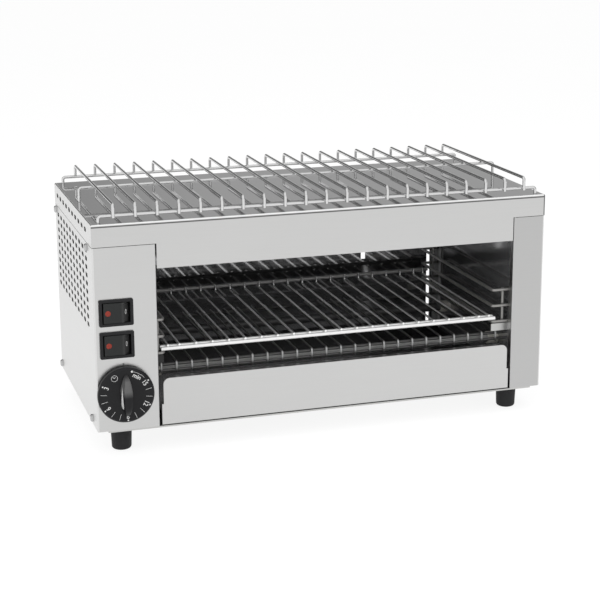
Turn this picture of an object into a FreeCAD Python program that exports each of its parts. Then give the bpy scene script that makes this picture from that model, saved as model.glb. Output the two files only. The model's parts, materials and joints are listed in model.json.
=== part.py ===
import FreeCAD, Part

import math
import os

Vector = FreeCAD.Vector
X_AXIS = Vector(1, 0, 0)
Y_AXIS = Vector(0, 1, 0)
Z_AXIS = Vector(0, 0, 1)

# Casing, in millimetres
body_width = 450.0
body_depth = 215.0
body_height = 197.0
outer_sheet = 1.0
bend_radius = 1.5
seam_gap = 0.5
running_gap = 0.3
cutout_gap = 0.3
edge_tolerance = 1e-6

# Front face
left_panel_width = 59.0
right_leg_width = 32.5
seam_drop = 21.6
header_drop = 44.5
return_lip = 7.0
header_lip = 9.0

# Rows of vent slots in the sides
slot_length = 10.5
slot_height = 4.4
slot_columns = 10
left_slot_rows = 10
right_slot_rows = 4
slot_row_pitch = 7.9
slot_top_margin = 8.0
slot_front_margin = 32.0
slot_rear_margin = 19.0
lip_slot_drop = 10.0

# Base pan and feet
base_sheet = 1.5
base_inset = 10.0
base_flange = 19.0
foot_height = 24.0
foot_top_radius = 10.2
foot_bottom_radius = 9.4
foot_bevel = 2.2
foot_sides = 12
foot_recess_radius = 5.0
foot_recess_depth = 7.0
foot_inset_x = 26.0
foot_inset_y = 23.0

# Rear panel, with the slit beside its right edge and a small cut-out
left_rear_flange = 50.0
right_rear_flange = 34.0
rear_overlap = 12.0
rear_slit_width = 4.0
rear_slit_height = 132.0
rear_cutout_width = 5.0
rear_cutout_height = 24.0
rear_cutout_drop = 82.0
rear_cutout_from_right = 111.0

# Toasting cavity
liner_sheet = 0.8
liner_flange = 10.0
ceiling_drop = 20.0
ceiling_front_lip = 14.0

# Rack guides, one ladder of bent wire on each side wall
guide_wire = 3.0
guide_levels = 3
guide_first_level = 68.3
guide_level_pitch = 16.2
left_guide_reach = 8.5
right_guide_reach = 17.5
guide_front = 10.0
guide_rear_margin = 16.0
left_post_inset = 3.2
right_post_inset = 5.5

# Sliding wire rack
rack_bar = 4.0
rack_wire = 2.2
rack_wires = 20
rack_overhang = 2.7
rack_front = 8.0
rack_depth = 179.0
rack_bar_pitch = 6.5
rack_side_inset = 6.5
rack_wire_inset = 17.5
rack_riser = 4.6

# Crumb tray
tray_front_height = 45.1
tray_front_lift = 1.2
tray_side_gap = 2.3
tray_step_height = 20.0
tray_step = 1.7
tray_corner = 6.0
tray_lip = 7.0
tray_wall = 14.0
tray_pan_inset = 3.0
tray_rear_margin = 14.0

# Quartz heating tubes and their guards
tube_radius = 4.5
tube_wall = 1.0
tube_front = 38.0
tube_rear_margin = 52.0
lower_tube_height = 43.5
upper_tube_drop = 31.0
cap_radius = 6.2
cap_length = 16.0
cap_outside = 5.0
coil_radius = 2.2
terminal_width = 6.3
terminal_sheet = 0.8
terminal_length = 9.0
guard_wire = 2.0
guard_bar = 3.0
lower_guard_wires = 24
upper_guard_wires = 8
guard_front = 22.0
guard_rear_margin = 26.0
lower_guard_height = 54.5
upper_guard_drop = 40.5
guard_hook = 8.5
guard_end_margin = 8.0
guard_bracket_front = 12.0
guard_bracket_low = 58.0
guard_bracket_height = 7.5
guard_bracket_depth = 10.0

# Warming rack on the top plate
top_wire = 3.0
top_wires = 21
top_rack_height = 18.5
top_rack_end_margin = 21.5
top_rack_edge = 3.6
top_rack_foot_margin = 8.0
top_leg_clearance = 4.8
top_rack_rest = 0.1
wire_sides = 6

# Rocker switches
switch_heights = {"upper": 114.0, "lower": 83.2}
switch_from_left = 20.5
bezel_width = 32.0
bezel_height = 25.4
bezel_proud = 2.0
bezel_corner = 1.0
housing_width = 30.0
housing_height = 22.0
housing_depth = 24.0
well_width = 26.0
well_height = 19.6
well_depth = 9.0
rocker_pivot_depth = 4.0
rocker_half_width = 12.0
rocker_face_proud = 0.7
rocker_ridge = 6.4
rocker_back = 2.6
rocker_back_start = 3.0
blade_offset_x = 7.5
blade_offset_z = 5.5
rocker_pin_radius = 1.5
rocker_pin_length = 0.9
pin_clearance = 0.08
lens_radius = 2.6
lens_offset = 7.9
lens_seat = 1.0
lens_proud = 0.5

# Timer
timer_from_left = 26.5
timer_height = 36.0
timer_side = 40.0
timer_depth = 32.0
timer_bearing_radius = 5.0
timer_bearing_length = 2.6
shaft_radius = 3.0
shaft_in_timer = 14.0
shaft_in_knob = 11.0
shaft_clearance = 0.06
timer_screw_spacing = 28.0
knob_radius = 26.6
knob_gap = 1.9
knob_skirt = 6.0
knob_bevel = 1.6
knob_sides = 28
grip_length = 40.0
grip_width = 12.0
grip_tip_width = 3.0
grip_height = 11.5
grip_crest_share = 0.7
grip_steps = 6

# Cable gland and terminal block
gland_from_left = 26.0
gland_height = 32.0
gland_thread_radius = 8.0
gland_flats = 22.0
gland_collar = 5.0
gland_dome = 9.0
gland_dome_radius = 9.5
gland_bore_radius = 4.5
gland_wall = 2.0
gland_inside = 9.0
locknut_thickness = 4.0
block_width = 22.0
block_length = 42.0
block_height = 15.0
block_poles = 3
block_pole_width = 13.2
block_pole_length = 9.4
round_sides = 12
block_margin = 40.0

# Fasteners
screw_radius = 2.0
screw_head_radius = 3.6
screw_head = 2.4
screw_length = 7.0
rear_screw_length = 3.5
screw_hole_gap = 0.15
head_sides = 8
shank_sides = 6
side_screw_front = 27.0
side_screw_rear_margin = 7.0
rear_screw_low = 23.0
side_screw_low = 5.5
side_screw_top_margin = 4.6
timer_head = 1.0
tab_height = 18.0
bracket_leg = 12.0
bracket_width = 10.0

# Places worked out from the sizes above
side_cut = 2 * outer_sheet
knob_reach = knob_gap + knob_skirt + grip_height
gland_reach = gland_collar + gland_dome
front_y = (knob_reach - gland_reach - body_depth) / 2
base_z = foot_height + base_sheet
opening_left = left_panel_width
opening_right = body_width - right_leg_width
opening_top = body_height - header_drop
seam_height = body_height - seam_drop
left_wall = opening_left - outer_sheet
right_wall = opening_right + outer_sheet
rear_inner = body_depth - 2 * outer_sheet
ceiling_height = body_height - ceiling_drop
tube_rear = body_depth - tube_rear_margin
upper_tube_height = body_height - upper_tube_drop
upper_guard_height = body_height - upper_guard_drop
guard_rear = body_depth - guard_rear_margin
left_rail = left_wall + left_guide_reach
right_rail = right_wall - right_guide_reach
guide_rear = body_depth - guide_rear_margin
rack_left = left_rail - rack_overhang
rack_right = right_rail + rack_overhang
rack_bar_height = guide_first_level + (guide_wire + rack_bar) / 2 + running_gap
rack_wire_height = rack_bar_height + (rack_bar + rack_wire) / 2
rack_rear = rack_front + rack_depth
side_screw_rear = body_depth - side_screw_rear_margin
side_screw_top = seam_height - side_screw_top_margin
top_wire_height = body_height + top_rack_height - top_wire / 2
rocker_pivot = rocker_pivot_depth - bezel_proud
rocker_face = -bezel_proud - rocker_face_proud
side_pitch = (body_depth - slot_front_margin - slot_rear_margin) / (slot_columns - 1)


def at(x, y, z):
    """A point counted from the casing's front lower left corner."""
    return Vector(x - body_width / 2, front_y + y, base_z + z)


def block(x0, x1, y0, y1, z0, z1):
    """A rectangular solid between two corners, counted from the casing's corner."""
    return Part.makeBox(x1 - x0, y1 - y0, z1 - z0, at(x0, y0, z0))


def cylinder(x, y, z, radius, length, axis):
    """A round bar that starts at a point and runs along an axis."""
    return Part.makeCylinder(radius, length, at(x, y, z), axis)


def joined(solids):
    """One solid made of several that overlap or share a face."""
    return solids[0].multiFuse(solids[1:]).removeSplitter()


def without(solid, cutters):
    """A solid with every cutter taken out of it."""
    return solid.cut(Part.makeCompound(cutters))


def outline(points):
    """A flat face inside a closed line of corner points."""
    return Part.Face(Part.makePolygon(points + points[:1]))


# Many-sided bars and bent wire

def ring(centre, way, flat_way, radius, sides):
    """Corners of a regular section square to a direction, with one flat facing a given way."""
    across = Vector(flat_way).normalize()
    over = Vector(way).normalize().cross(across)
    corner_radius = radius / math.cos(math.pi / sides)
    corners = []
    for step in range(sides):
        turn = math.pi * (2 * step + 1) / sides
        corners.append(centre + across * corner_radius * math.cos(turn) + over * corner_radius * math.sin(turn))
    return corners


def skinned(rings):
    """A solid whose flat faces join each ring of corners to the next."""
    sides = len(rings[0])
    faces = [outline(rings[0]), outline(rings[-1])]
    for near, far in zip(rings, rings[1:]):
        for step in range(sides):
            following = (step + 1) % sides
            faces.append(outline([near[step], near[following], far[following], far[step]]))
    solid = Part.makeSolid(Part.makeShell(faces))
    if solid.Volume < 0:
        solid.reverse()
    return solid


def bar(point, axis, radius, length, sides):
    """A straight many-sided bar from a point along an axis, with a flat facing sideways."""
    flat_way = X_AXIS if abs(axis.x) < 0.5 else Y_AXIS
    corners = ring(point, axis, flat_way, radius, sides)
    return outline(corners).extrude(axis * length)


def bent_wire(points, diameter, flat_way):
    """A wire through the points, mitred at each bend, whose first run has a flat facing a given way."""
    ways = [(after - before).normalize() for before, after in zip(points, points[1:])]
    rings = [ring(points[0], ways[0], flat_way, diameter / 2, wire_sides)]
    for index, way in enumerate(ways):
        end = points[index + 1]
        onward = ways[min(index + 1, len(ways) - 1)]
        normal = (way + onward).normalize()
        mitre = []
        for corner in rings[-1]:
            travel = (end - corner).dot(normal) / way.dot(normal)
            mitre.append(corner + way * travel)
        rings.append(mitre)
    return skinned(rings)


# Bent sheet

def bent_line(points, radius):
    """Straight runs through the points, with an arc of the given radius at each bend."""
    edges = []
    start = points[0]
    for before, corner, after in zip(points, points[1:], points[2:]):
        back = (before - corner).normalize()
        ahead = (after - corner).normalize()
        half_turn = (math.pi - back.getAngle(ahead)) / 2
        reach = radius * math.tan(half_turn)
        enter = corner + back * reach
        leave = corner + ahead * reach
        middle_way = (back + ahead).normalize()
        middle = corner + middle_way * (radius / math.cos(half_turn) - radius)
        edges.append(Part.LineSegment(start, enter).toShape())
        edges.append(Part.Arc(enter, middle, leave).toShape())
        start = leave
    edges.append(Part.LineSegment(start, points[-1]).toShape())
    return edges


def folded_sheet(line, thickness, rise, radius=0):
    """Sheet that follows a line and lies to its left, seen with the rise towards the eye."""
    upright = Vector(rise).normalize()
    ways = [(after - before).normalize() for before, after in zip(line, line[1:])]
    lefts = [upright.cross(way) for way in ways]
    inner = [line[0] + lefts[0] * thickness]
    for corner, first, second in zip(line[1:], lefts, lefts[1:]):
        inner.append(corner + (first + second) * (thickness / (1 + first.dot(second))))
    inner.append(line[-1] + lefts[-1] * thickness)
    inner.reverse()
    if not radius:
        return outline(line + inner).extrude(rise)
    edges = bent_line(line, radius)
    edges.append(Part.LineSegment(line[-1], inner[0]).toShape())
    edges += bent_line(inner, radius - thickness)
    edges.append(Part.LineSegment(inner[-1], line[0]).toShape())
    return Part.Face(Part.Wire(edges)).extrude(rise)


# Casing

def side_slots(face_x, heights):
    """Cutters for rows of slots in a side, one row at each height."""
    cutters = []
    for height in heights:
        for column in range(slot_columns):
            middle = slot_front_margin + column * side_pitch
            cutters.append(block(face_x - side_cut, face_x + side_cut,
                                 middle - slot_length / 2, middle + slot_length / 2,
                                 height - slot_height / 2, height + slot_height / 2))
    return cutters


def screw_hole(x, y, z, axis, reach):
    """Cutter for a screw's hole, as far before the point as behind it."""
    return bar(at(x, y, z) - axis * reach, axis, screw_radius + screw_hole_gap, 2 * reach, shank_sides)


def side_screw_places():
    """Where the screws of a side sit: distance from the front, height."""
    return [(y, z) for y in (side_screw_front, side_screw_rear) for z in (side_screw_low, side_screw_top)]


def rear_screw_places():
    """Where the rear faces of the casing are screwed to the rear panel: distance from the left, height."""
    left = left_rear_flange - rear_overlap / 2
    right = body_width - right_rear_flange + rear_overlap / 2
    high = (rear_slit_height + seam_height) / 2
    return [(left, rear_screw_low), (left, high), (right, high)]


def casing_side(face_x, inward, front_width, rear_width, rows):
    """One side of the casing: front face, side and rear face in one folded sheet with a foot on the pan."""
    front_edge = face_x + inward * front_width
    line = [
        at(face_x + inward * rear_width, body_depth, 0),
        at(face_x, body_depth, 0),
        at(face_x, 0, 0),
        at(front_edge, 0, 0),
        at(front_edge, return_lip, 0),
    ]
    if inward < 0:
        line.reverse()
    shell = folded_sheet(line, outer_sheet, Z_AXIS * seam_height, bend_radius)
    edges_x = sorted((face_x + inward * outer_sheet, face_x + inward * (outer_sheet + base_flange)))
    foot = block(*edges_x, outer_sheet, body_depth - outer_sheet, 0, outer_sheet)
    heights = [seam_height - slot_top_margin - row * slot_row_pitch for row in range(rows)]
    holes = [screw_hole(face_x, y, z, X_AXIS, side_cut) for y, z in side_screw_places()]
    holes += [screw_hole(x, body_depth, z, Y_AXIS, side_cut) for x, z in rear_screw_places()]
    return without(joined([shell, foot]), side_slots(face_x, heights) + holes)


def left_casing():
    """Left side with the control panel: two switch cut-outs, the timer's holes and the gland's hole."""
    shell = casing_side(0, 1, left_panel_width, left_rear_flange, left_slot_rows)
    half_width = housing_width / 2 + cutout_gap
    half_height = housing_height / 2 + cutout_gap
    cutters = []
    for height in switch_heights.values():
        cutters.append(block(switch_from_left - half_width, switch_from_left + half_width, -side_cut, side_cut,
                             height - half_height, height + half_height))
    for x in timer_screw_places():
        cutters.append(screw_hole(x, 0, timer_height, Y_AXIS, side_cut))
    cutters.append(bar(at(timer_from_left, -side_cut, timer_height), Y_AXIS, timer_bearing_radius + cutout_gap,
                       2 * side_cut, round_sides))
    cutters.append(bar(at(gland_from_left, body_depth - side_cut, gland_height), Y_AXIS,
                       gland_thread_radius + cutout_gap, 2 * side_cut, round_sides))
    return without(shell, cutters)


def right_casing():
    """Right side with the plain front leg."""
    return casing_side(body_width, -1, right_leg_width, right_rear_flange, right_slot_rows)


def top_cover():
    """Lid: top plate, the deep front header between the legs, and shallow lips at the sides and rear."""
    outer = block(0, body_width, 0, body_depth, opening_top, body_height)
    outer = outer.makeFillet(bend_radius, top_edges(outer))
    inner = block(outer_sheet, body_width - outer_sheet, outer_sheet, body_depth - outer_sheet,
                  opening_top, body_height - outer_sheet)
    inner = inner.makeFillet(bend_radius - outer_sheet, top_edges(inner))
    lip_bottom = seam_height + seam_gap
    cutters = [
        inner,
        block(0, opening_left + seam_gap, 0, body_depth, opening_top, lip_bottom),
        block(opening_right - seam_gap, body_width, 0, body_depth, opening_top, lip_bottom),
        block(0, body_width, header_lip, body_depth, opening_top, lip_bottom),
    ]
    header_return = block(opening_left + seam_gap, opening_right - seam_gap, outer_sheet, header_lip,
                          opening_top, opening_top + outer_sheet)
    shell = joined([without(outer, cutters), header_return])
    row = [body_height - lip_slot_drop]
    return without(shell, side_slots(0, row) + side_slots(body_width, row))


def top_edges(solid):
    """The four edges round the top of a box."""
    top = solid.BoundBox.ZMax
    return [edge for edge in solid.Edges if abs(edge.BoundBox.ZMin - top) < edge_tolerance]


def rear_panel():
    """Back of the cavity: one sheet with a foot on the pan, a slit at its right edge and a small cut-out."""
    panel_top = body_height - outer_sheet - seam_gap
    left = left_rear_flange - rear_overlap
    right = body_width - right_rear_flange + rear_overlap
    outer_face = body_depth - outer_sheet
    line = [at(left, outer_face - return_lip, 0), at(left, outer_face, 0), at(left, outer_face, panel_top)]
    sheet = folded_sheet(line, outer_sheet, X_AXIS * (right - left))
    slit_left = body_width - right_rear_flange - rear_slit_width
    cutout_left = body_width - rear_cutout_from_right - rear_cutout_width
    cutout_top = body_height - rear_cutout_drop
    cutters = [
        block(slit_left, right, outer_face - return_lip, outer_face, 0, rear_slit_height),
        block(left, left_wall + seam_gap, outer_face - return_lip, rear_inner, 0, outer_sheet),
        block(cutout_left, cutout_left + rear_cutout_width, rear_inner, outer_face,
              cutout_top - rear_cutout_height, cutout_top),
    ]
    cutters += [screw_hole(x, body_depth, z, Y_AXIS, rear_screw_length) for x, z in rear_screw_places()]
    return without(sheet, cutters)


def foot_places():
    """Centres of the four feet."""
    return [(x, y) for y in (foot_inset_y, body_depth - foot_inset_y)
            for x in (foot_inset_x, body_width - foot_inset_x)]


def base_pan():
    """Flat pan under the casing, just inside its sides, with a hole over each foot."""
    pan = block(base_inset, body_width - base_inset, 0, body_depth - outer_sheet, -base_sheet, 0)
    return without(pan, [screw_hole(x, y, 0, Z_AXIS, side_cut) for x, y in foot_places()])


def feet():
    """Four tapered rubber feet with a bevelled tread and a recess for the screw."""
    solids = []
    for x, y in foot_places():
        levels = ((foot_height, foot_top_radius), (foot_bevel, foot_bottom_radius),
                  (0, foot_bottom_radius - foot_bevel))
        rings = [ring(at(x, y, z - base_z), Z_AXIS, X_AXIS, radius, foot_sides) for z, radius in levels]
        recess = bar(at(x, y, -base_z), Z_AXIS, foot_recess_radius, foot_recess_depth, head_sides)
        hole = screw_hole(x, y, -base_sheet, Z_AXIS, foot_height)
        solids.append(without(skinned(rings), [recess, hole]))
    return Part.makeCompound(solids)


# Screws and brackets

def screw(point, axis, head, length):
    """A flat-topped round screw: the head stands back from the point, the shank runs along the axis."""
    cap = bar(point - axis * head, axis, screw_head_radius, head, head_sides)
    shank = bar(point, axis, screw_radius, length, shank_sides)
    return joined([cap, shank])


def foot_screws():
    """A screw up through each foot into the pan."""
    length = foot_height + base_sheet - foot_recess_depth - running_gap
    return Part.makeCompound([screw(at(x, y, foot_recess_depth - base_z), Z_AXIS, screw_head, length)
                              for x, y in foot_places()])


def side_screws():
    """Four screws in each side."""
    solids = []
    for face_x, inward in ((0, 1), (body_width, -1)):
        for y, z in side_screw_places():
            solids.append(screw(at(face_x, y, z), X_AXIS * inward, screw_head, screw_length))
    return Part.makeCompound(solids)


def rear_screws():
    """Screws that hold the rear panel to the casing."""
    return Part.makeCompound([screw(at(x, body_depth, z), -Y_AXIS, screw_head, rear_screw_length)
                              for x, z in rear_screw_places()])


def cover_tabs():
    """Flat tabs inside the casing that join the cover's side lips to the side sheets."""
    solids = []
    low = side_screw_top - tab_height / 2
    for face_x, inward in ((0, 1), (body_width, -1)):
        edges_x = sorted((face_x + inward * outer_sheet, face_x + inward * 2 * outer_sheet))
        for y in (side_screw_front, side_screw_rear):
            tab = block(*edges_x, y - bracket_width / 2, y + bracket_width / 2, low, low + tab_height)
            solids.append(tab.cut(screw_hole(face_x, y, side_screw_top, X_AXIS, 3 * outer_sheet)))
    return Part.makeCompound(solids)


def base_brackets():
    """Four angle brackets that stand on the casing's foot and hold the lower side screws."""
    solids = []
    for face_x, inward in ((0, 1), (body_width, -1)):
        wall = face_x + inward * outer_sheet
        for y in (side_screw_front, side_screw_rear):
            front = y - bracket_width / 2
            line = [at(wall + inward * bracket_leg, front, outer_sheet), at(wall, front, outer_sheet),
                    at(wall, front, bracket_leg)]
            if inward < 0:
                line.reverse()
            angle = folded_sheet(line, outer_sheet, Y_AXIS * bracket_width)
            solids.append(angle.cut(screw_hole(face_x, y, side_screw_low, X_AXIS, 3 * outer_sheet)))
    return Part.makeCompound(solids)


# Cavity

def tube_places():
    """Where the four heating tubes lie: distance from the front, height."""
    return {
        "lower_front": (tube_front, lower_tube_height),
        "lower_rear": (tube_rear, lower_tube_height),
        "upper_front": (tube_front, upper_tube_height),
        "upper_rear": (tube_rear, upper_tube_height),
    }


def cavity_wall(inner_x, outward):
    """Side wall of the cavity with a foot on the pan, a flange under the ceiling and holes for the tubes."""
    front = bend_radius + seam_gap
    flange_edge = inner_x + outward * (liner_sheet + liner_flange)
    line = [
        at(flange_edge, front, 0),
        at(inner_x, front, 0),
        at(inner_x, front, ceiling_height),
        at(flange_edge, front, ceiling_height),
    ]
    if outward < 0:
        line.reverse()
    shell = folded_sheet(line, liner_sheet, Y_AXIS * (rear_inner - seam_gap - front))
    holes = [bar(at(inner_x - side_cut, y, z), X_AXIS, cap_radius + screw_hole_gap, 2 * side_cut, head_sides)
             for y, z in tube_places().values()]
    return without(shell, holes)


def cavity_ceiling():
    """Sheet over the cavity, resting on the flanges of both side walls, with a lip behind the header."""
    left = left_wall + bend_radius
    right = right_wall - bend_radius
    top = ceiling_height + liner_sheet
    front = header_lip + 2 * outer_sheet
    rear = rear_inner - seam_gap
    line = [at(left, rear, top), at(left, front, top), at(left, front, top - ceiling_front_lip)]
    sheet = folded_sheet(line, liner_sheet, X_AXIS * (right - left))
    wings = block(left_wall - liner_flange, right_wall + liner_flange, front, rear, ceiling_height, top)
    return joined([sheet, wings])


def rack_guide(wall_x, reach, post_inset, inward):
    """Ladder of three bent wires on a side wall, tied by an upright at each end."""
    rail_x = wall_x + inward * reach
    post_x = wall_x + inward * post_inset
    wires = []
    for level in range(guide_levels):
        height = guide_first_level + level * guide_level_pitch
        line = [at(wall_x, guide_front, height), at(rail_x, guide_front, height),
                at(rail_x, guide_rear, height), at(wall_x, guide_rear, height)]
        wires.append(bent_wire(line, guide_wire, Z_AXIS))
    low = guide_first_level - guide_wire / 2
    high = low + (guide_levels - 1) * guide_level_pitch + guide_wire
    for y in (guide_front + guide_wire, guide_rear - guide_wire):
        wires.append(bent_wire([at(post_x, y, low), at(post_x, y, high)], guide_wire, Y_AXIS))
    return joined(wires)


def guard_brackets():
    """Angle plates on the side walls, one at each end of the lower guard's front edge."""
    solids = []
    top = guard_bracket_low + guard_bracket_height
    rear = guard_bracket_front + guard_bracket_depth
    for wall_x, inward, reach in ((left_wall, 1, left_guide_reach), (right_wall, -1, right_guide_reach)):
        line = [at(wall_x + inward * reach, guard_bracket_front, guard_bracket_low),
                at(wall_x, guard_bracket_front, guard_bracket_low),
                at(wall_x, rear, guard_bracket_low)]
        if inward > 0:
            line.reverse()
        solids.append(folded_sheet(line, outer_sheet, Z_AXIS * (top - guard_bracket_low)))
    return Part.makeCompound(solids)


def wire_rack():
    """Sliding rack: twin front bars, and wires that carry the food and turn up to a rear bar."""
    first_bar = rack_front + rack_bar / 2
    rear_bar = rack_rear + (rack_bar + rack_wire) / 2
    rear_bar_height = rack_wire_height + rack_riser
    wires = []
    for y, z, flat_way in ((first_bar, rack_bar_height, Z_AXIS),
                           (first_bar + rack_bar_pitch, rack_bar_height, Z_AXIS),
                           (rear_bar, rear_bar_height, Y_AXIS)):
        wires.append(bent_wire([at(rack_left, y, z), at(rack_right, y, z)], rack_bar, flat_way))
    spacing = (rack_right - rack_left - 2 * rack_wire_inset) / (rack_wires - 1)
    places = [rack_left + rack_side_inset, rack_right - rack_side_inset]
    places += [rack_left + rack_wire_inset + index * spacing for index in range(rack_wires)]
    for x in places:
        line = [at(x, rack_front + rack_wire / 2, rack_wire_height), at(x, rack_rear, rack_wire_height),
                at(x, rack_rear, rear_bar_height + rack_bar / 2)]
        wires.append(bent_wire(line, rack_wire, Z_AXIS))
    return joined(wires)


# Crumb tray

def crumb_tray_front():
    """Flat front of the tray: rounded upper corners, a wider lower part and a lip along the top."""
    low = tray_front_lift
    high = tray_front_lift + tray_front_height
    step = tray_front_lift + tray_step_height
    wide_left = opening_left + tray_side_gap
    wide_right = opening_right - tray_side_gap
    left = wide_left + tray_step
    right = wide_right - tray_step
    bevel = tray_corner * (1 - math.sqrt(0.5))
    lines = [
        Part.LineSegment(at(wide_left, 0, low), at(wide_right, 0, low)),
        Part.LineSegment(at(wide_right, 0, low), at(wide_right, 0, step)),
        Part.LineSegment(at(wide_right, 0, step), at(right, 0, step)),
        Part.LineSegment(at(right, 0, step), at(right, 0, high - tray_corner)),
        Part.Arc(at(right, 0, high - tray_corner), at(right - bevel, 0, high - bevel),
                 at(right - tray_corner, 0, high)),
        Part.LineSegment(at(right - tray_corner, 0, high), at(left + tray_corner, 0, high)),
        Part.Arc(at(left + tray_corner, 0, high), at(left + bevel, 0, high - bevel),
                 at(left, 0, high - tray_corner)),
        Part.LineSegment(at(left, 0, high - tray_corner), at(left, 0, step)),
        Part.LineSegment(at(left, 0, step), at(wide_left, 0, step)),
        Part.LineSegment(at(wide_left, 0, step), at(wide_left, 0, low)),
    ]
    face = Part.Face(Part.Wire([line.toShape() for line in lines]))
    plate = face.extrude(Y_AXIS * outer_sheet)
    lip = block(left + tray_corner, right - tray_corner, outer_sheet, tray_lip, high - outer_sheet, high)
    return joined([plate, lip])


def crumb_tray_pan():
    """Shallow open pan behind the tray's front."""
    left = left_wall + tray_pan_inset
    right = right_wall - tray_pan_inset
    rear = body_depth - tray_rear_margin
    outer = block(left, right, outer_sheet, rear, running_gap, tray_wall)
    inner = block(left + liner_sheet, right - liner_sheet, outer_sheet + liner_sheet, rear - liner_sheet,
                  running_gap + liner_sheet, tray_wall)
    return outer.cut(inner)


# Heating tubes

def heating_tube(y, z):
    """Quartz tube from cap to cap."""
    start = left_wall + cap_length - cap_outside
    length = right_wall - cap_length + cap_outside - start
    outside = bar(at(start, y, z), X_AXIS, tube_radius, length, head_sides)
    return outside.cut(bar(at(start, y, z), X_AXIS, tube_radius - tube_wall, length, head_sides))


def heating_coils(level):
    """The wound heaters inside the tubes of one level, as plain cores."""
    start = left_wall + cap_length - cap_outside
    length = right_wall - cap_length + cap_outside - start
    return Part.makeCompound([bar(at(start, y, z), X_AXIS, coil_radius, length, shank_sides)
                              for name, (y, z) in tube_places().items() if name.startswith(level)])


def tube_caps(level):
    """Ceramic caps on the tube ends, seated in the side walls."""
    solids = []
    for name, (y, z) in tube_places().items():
        if name.startswith(level):
            for wall_x, inward in ((left_wall, 1), (right_wall, -1)):
                start = at(wall_x - inward * cap_outside, y, z)
                solids.append(bar(start, X_AXIS * inward, cap_radius, cap_length, head_sides))
    return Part.makeCompound(solids)


def tube_terminals():
    """A flat terminal on the outer end of every cap."""
    solids = []
    for y, z in tube_places().values():
        for wall_x, outward in ((left_wall, -1), (right_wall, 1)):
            near = wall_x + outward * cap_outside
            edges_x = sorted((near, near + outward * terminal_length))
            solids.append(block(*edges_x, y - terminal_width / 2, y + terminal_width / 2,
                                z - terminal_sheet / 2, z + terminal_sheet / 2))
    return Part.makeCompound(solids)


def guard_cross_bar(y, z, flat_way):
    """A bar of a guard from wall to wall."""
    return bent_wire([at(left_wall + running_gap, y, z), at(right_wall - running_gap, y, z)], guard_bar, flat_way)


def guard_columns(count):
    """Places of a guard's wires along the width."""
    first = left_wall + guard_end_margin
    spacing = (right_wall - left_wall - 2 * guard_end_margin) / (count - 1)
    return [first + index * spacing for index in range(count)]


def lower_guard():
    """Grille over the lower tubes, its wires bent down at the front to a second bar."""
    apart = (guard_bar + guard_wire) / 2
    hook_bottom = lower_guard_height - guard_hook
    wires = [
        guard_cross_bar(guard_front + guard_bar, lower_guard_height - apart, Z_AXIS),
        guard_cross_bar(guard_rear - guard_bar, lower_guard_height - apart, Z_AXIS),
        guard_cross_bar(guard_front + apart, hook_bottom, Y_AXIS),
    ]
    for x in guard_columns(lower_guard_wires):
        line = [at(x, guard_front, hook_bottom - guard_bar / 2), at(x, guard_front, lower_guard_height),
                at(x, guard_rear, lower_guard_height)]
        wires.append(bent_wire(line, guard_wire, Y_AXIS))
    return joined(wires)


def upper_guard():
    """Straight grille under the upper tubes."""
    bar_height = upper_guard_height + (guard_bar + guard_wire) / 2
    wires = [guard_cross_bar(y, bar_height, Z_AXIS) for y in (guard_front + guard_bar, guard_rear - guard_bar)]
    for x in guard_columns(upper_guard_wires):
        wires.append(bent_wire([at(x, guard_front, upper_guard_height), at(x, guard_rear, upper_guard_height)],
                               guard_wire, Z_AXIS))
    return joined(wires)


# Warming rack on top

def top_rack():
    """Staples of wire from front to rear on three cross wires whose ends bend down as feet."""
    spacing = (body_width - 2 * top_rack_end_margin) / (top_wires - 1)
    leg_bottom = body_height + top_leg_clearance
    front = top_rack_edge
    rear = body_depth - top_rack_edge
    wires = []
    for index in range(top_wires):
        x = top_rack_end_margin + index * spacing
        line = [at(x, front, leg_bottom), at(x, front, top_wire_height),
                at(x, rear, top_wire_height), at(x, rear, leg_bottom)]
        wires.append(bent_wire(line, top_wire, Y_AXIS))
    left = top_rack_foot_margin
    right = body_width - top_rack_foot_margin
    foot = body_height + top_rack_rest
    low = leg_bottom + top_wire / 2
    for y, z, flat_way in ((front + top_wire, low, Y_AXIS),
                           (body_depth / 2, top_wire_height - top_wire, X_AXIS),
                           (rear - top_wire, low, Y_AXIS)):
        line = [at(left, y, foot), at(left, y, z), at(right, y, z), at(right, y, foot)]
        wires.append(bent_wire(line, top_wire, flat_way))
    return joined(wires)


# Rocker switches

def turning_room(radius, clearance):
    """Radius of a many-sided hole in which a bar with as many sides can turn."""
    return radius / math.cos(math.pi / round_sides) + clearance


def bezel_plate(x, z):
    """Frame of a switch: a plate in front of the panel with its corners cut off."""
    half_width = bezel_width / 2
    half_height = bezel_height / 2
    corners = []
    for side_x, side_z in ((1, 1), (-1, 1), (-1, -1), (1, -1)):
        tall = at(x + side_x * half_width, 0, z + side_z * (half_height - bezel_corner))
        wide = at(x + side_x * (half_width - bezel_corner), 0, z + side_z * half_height)
        corners += [tall, wide] if side_x * side_z > 0 else [wide, tall]
    return outline(corners).extrude(-Y_AXIS * bezel_proud)


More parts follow.
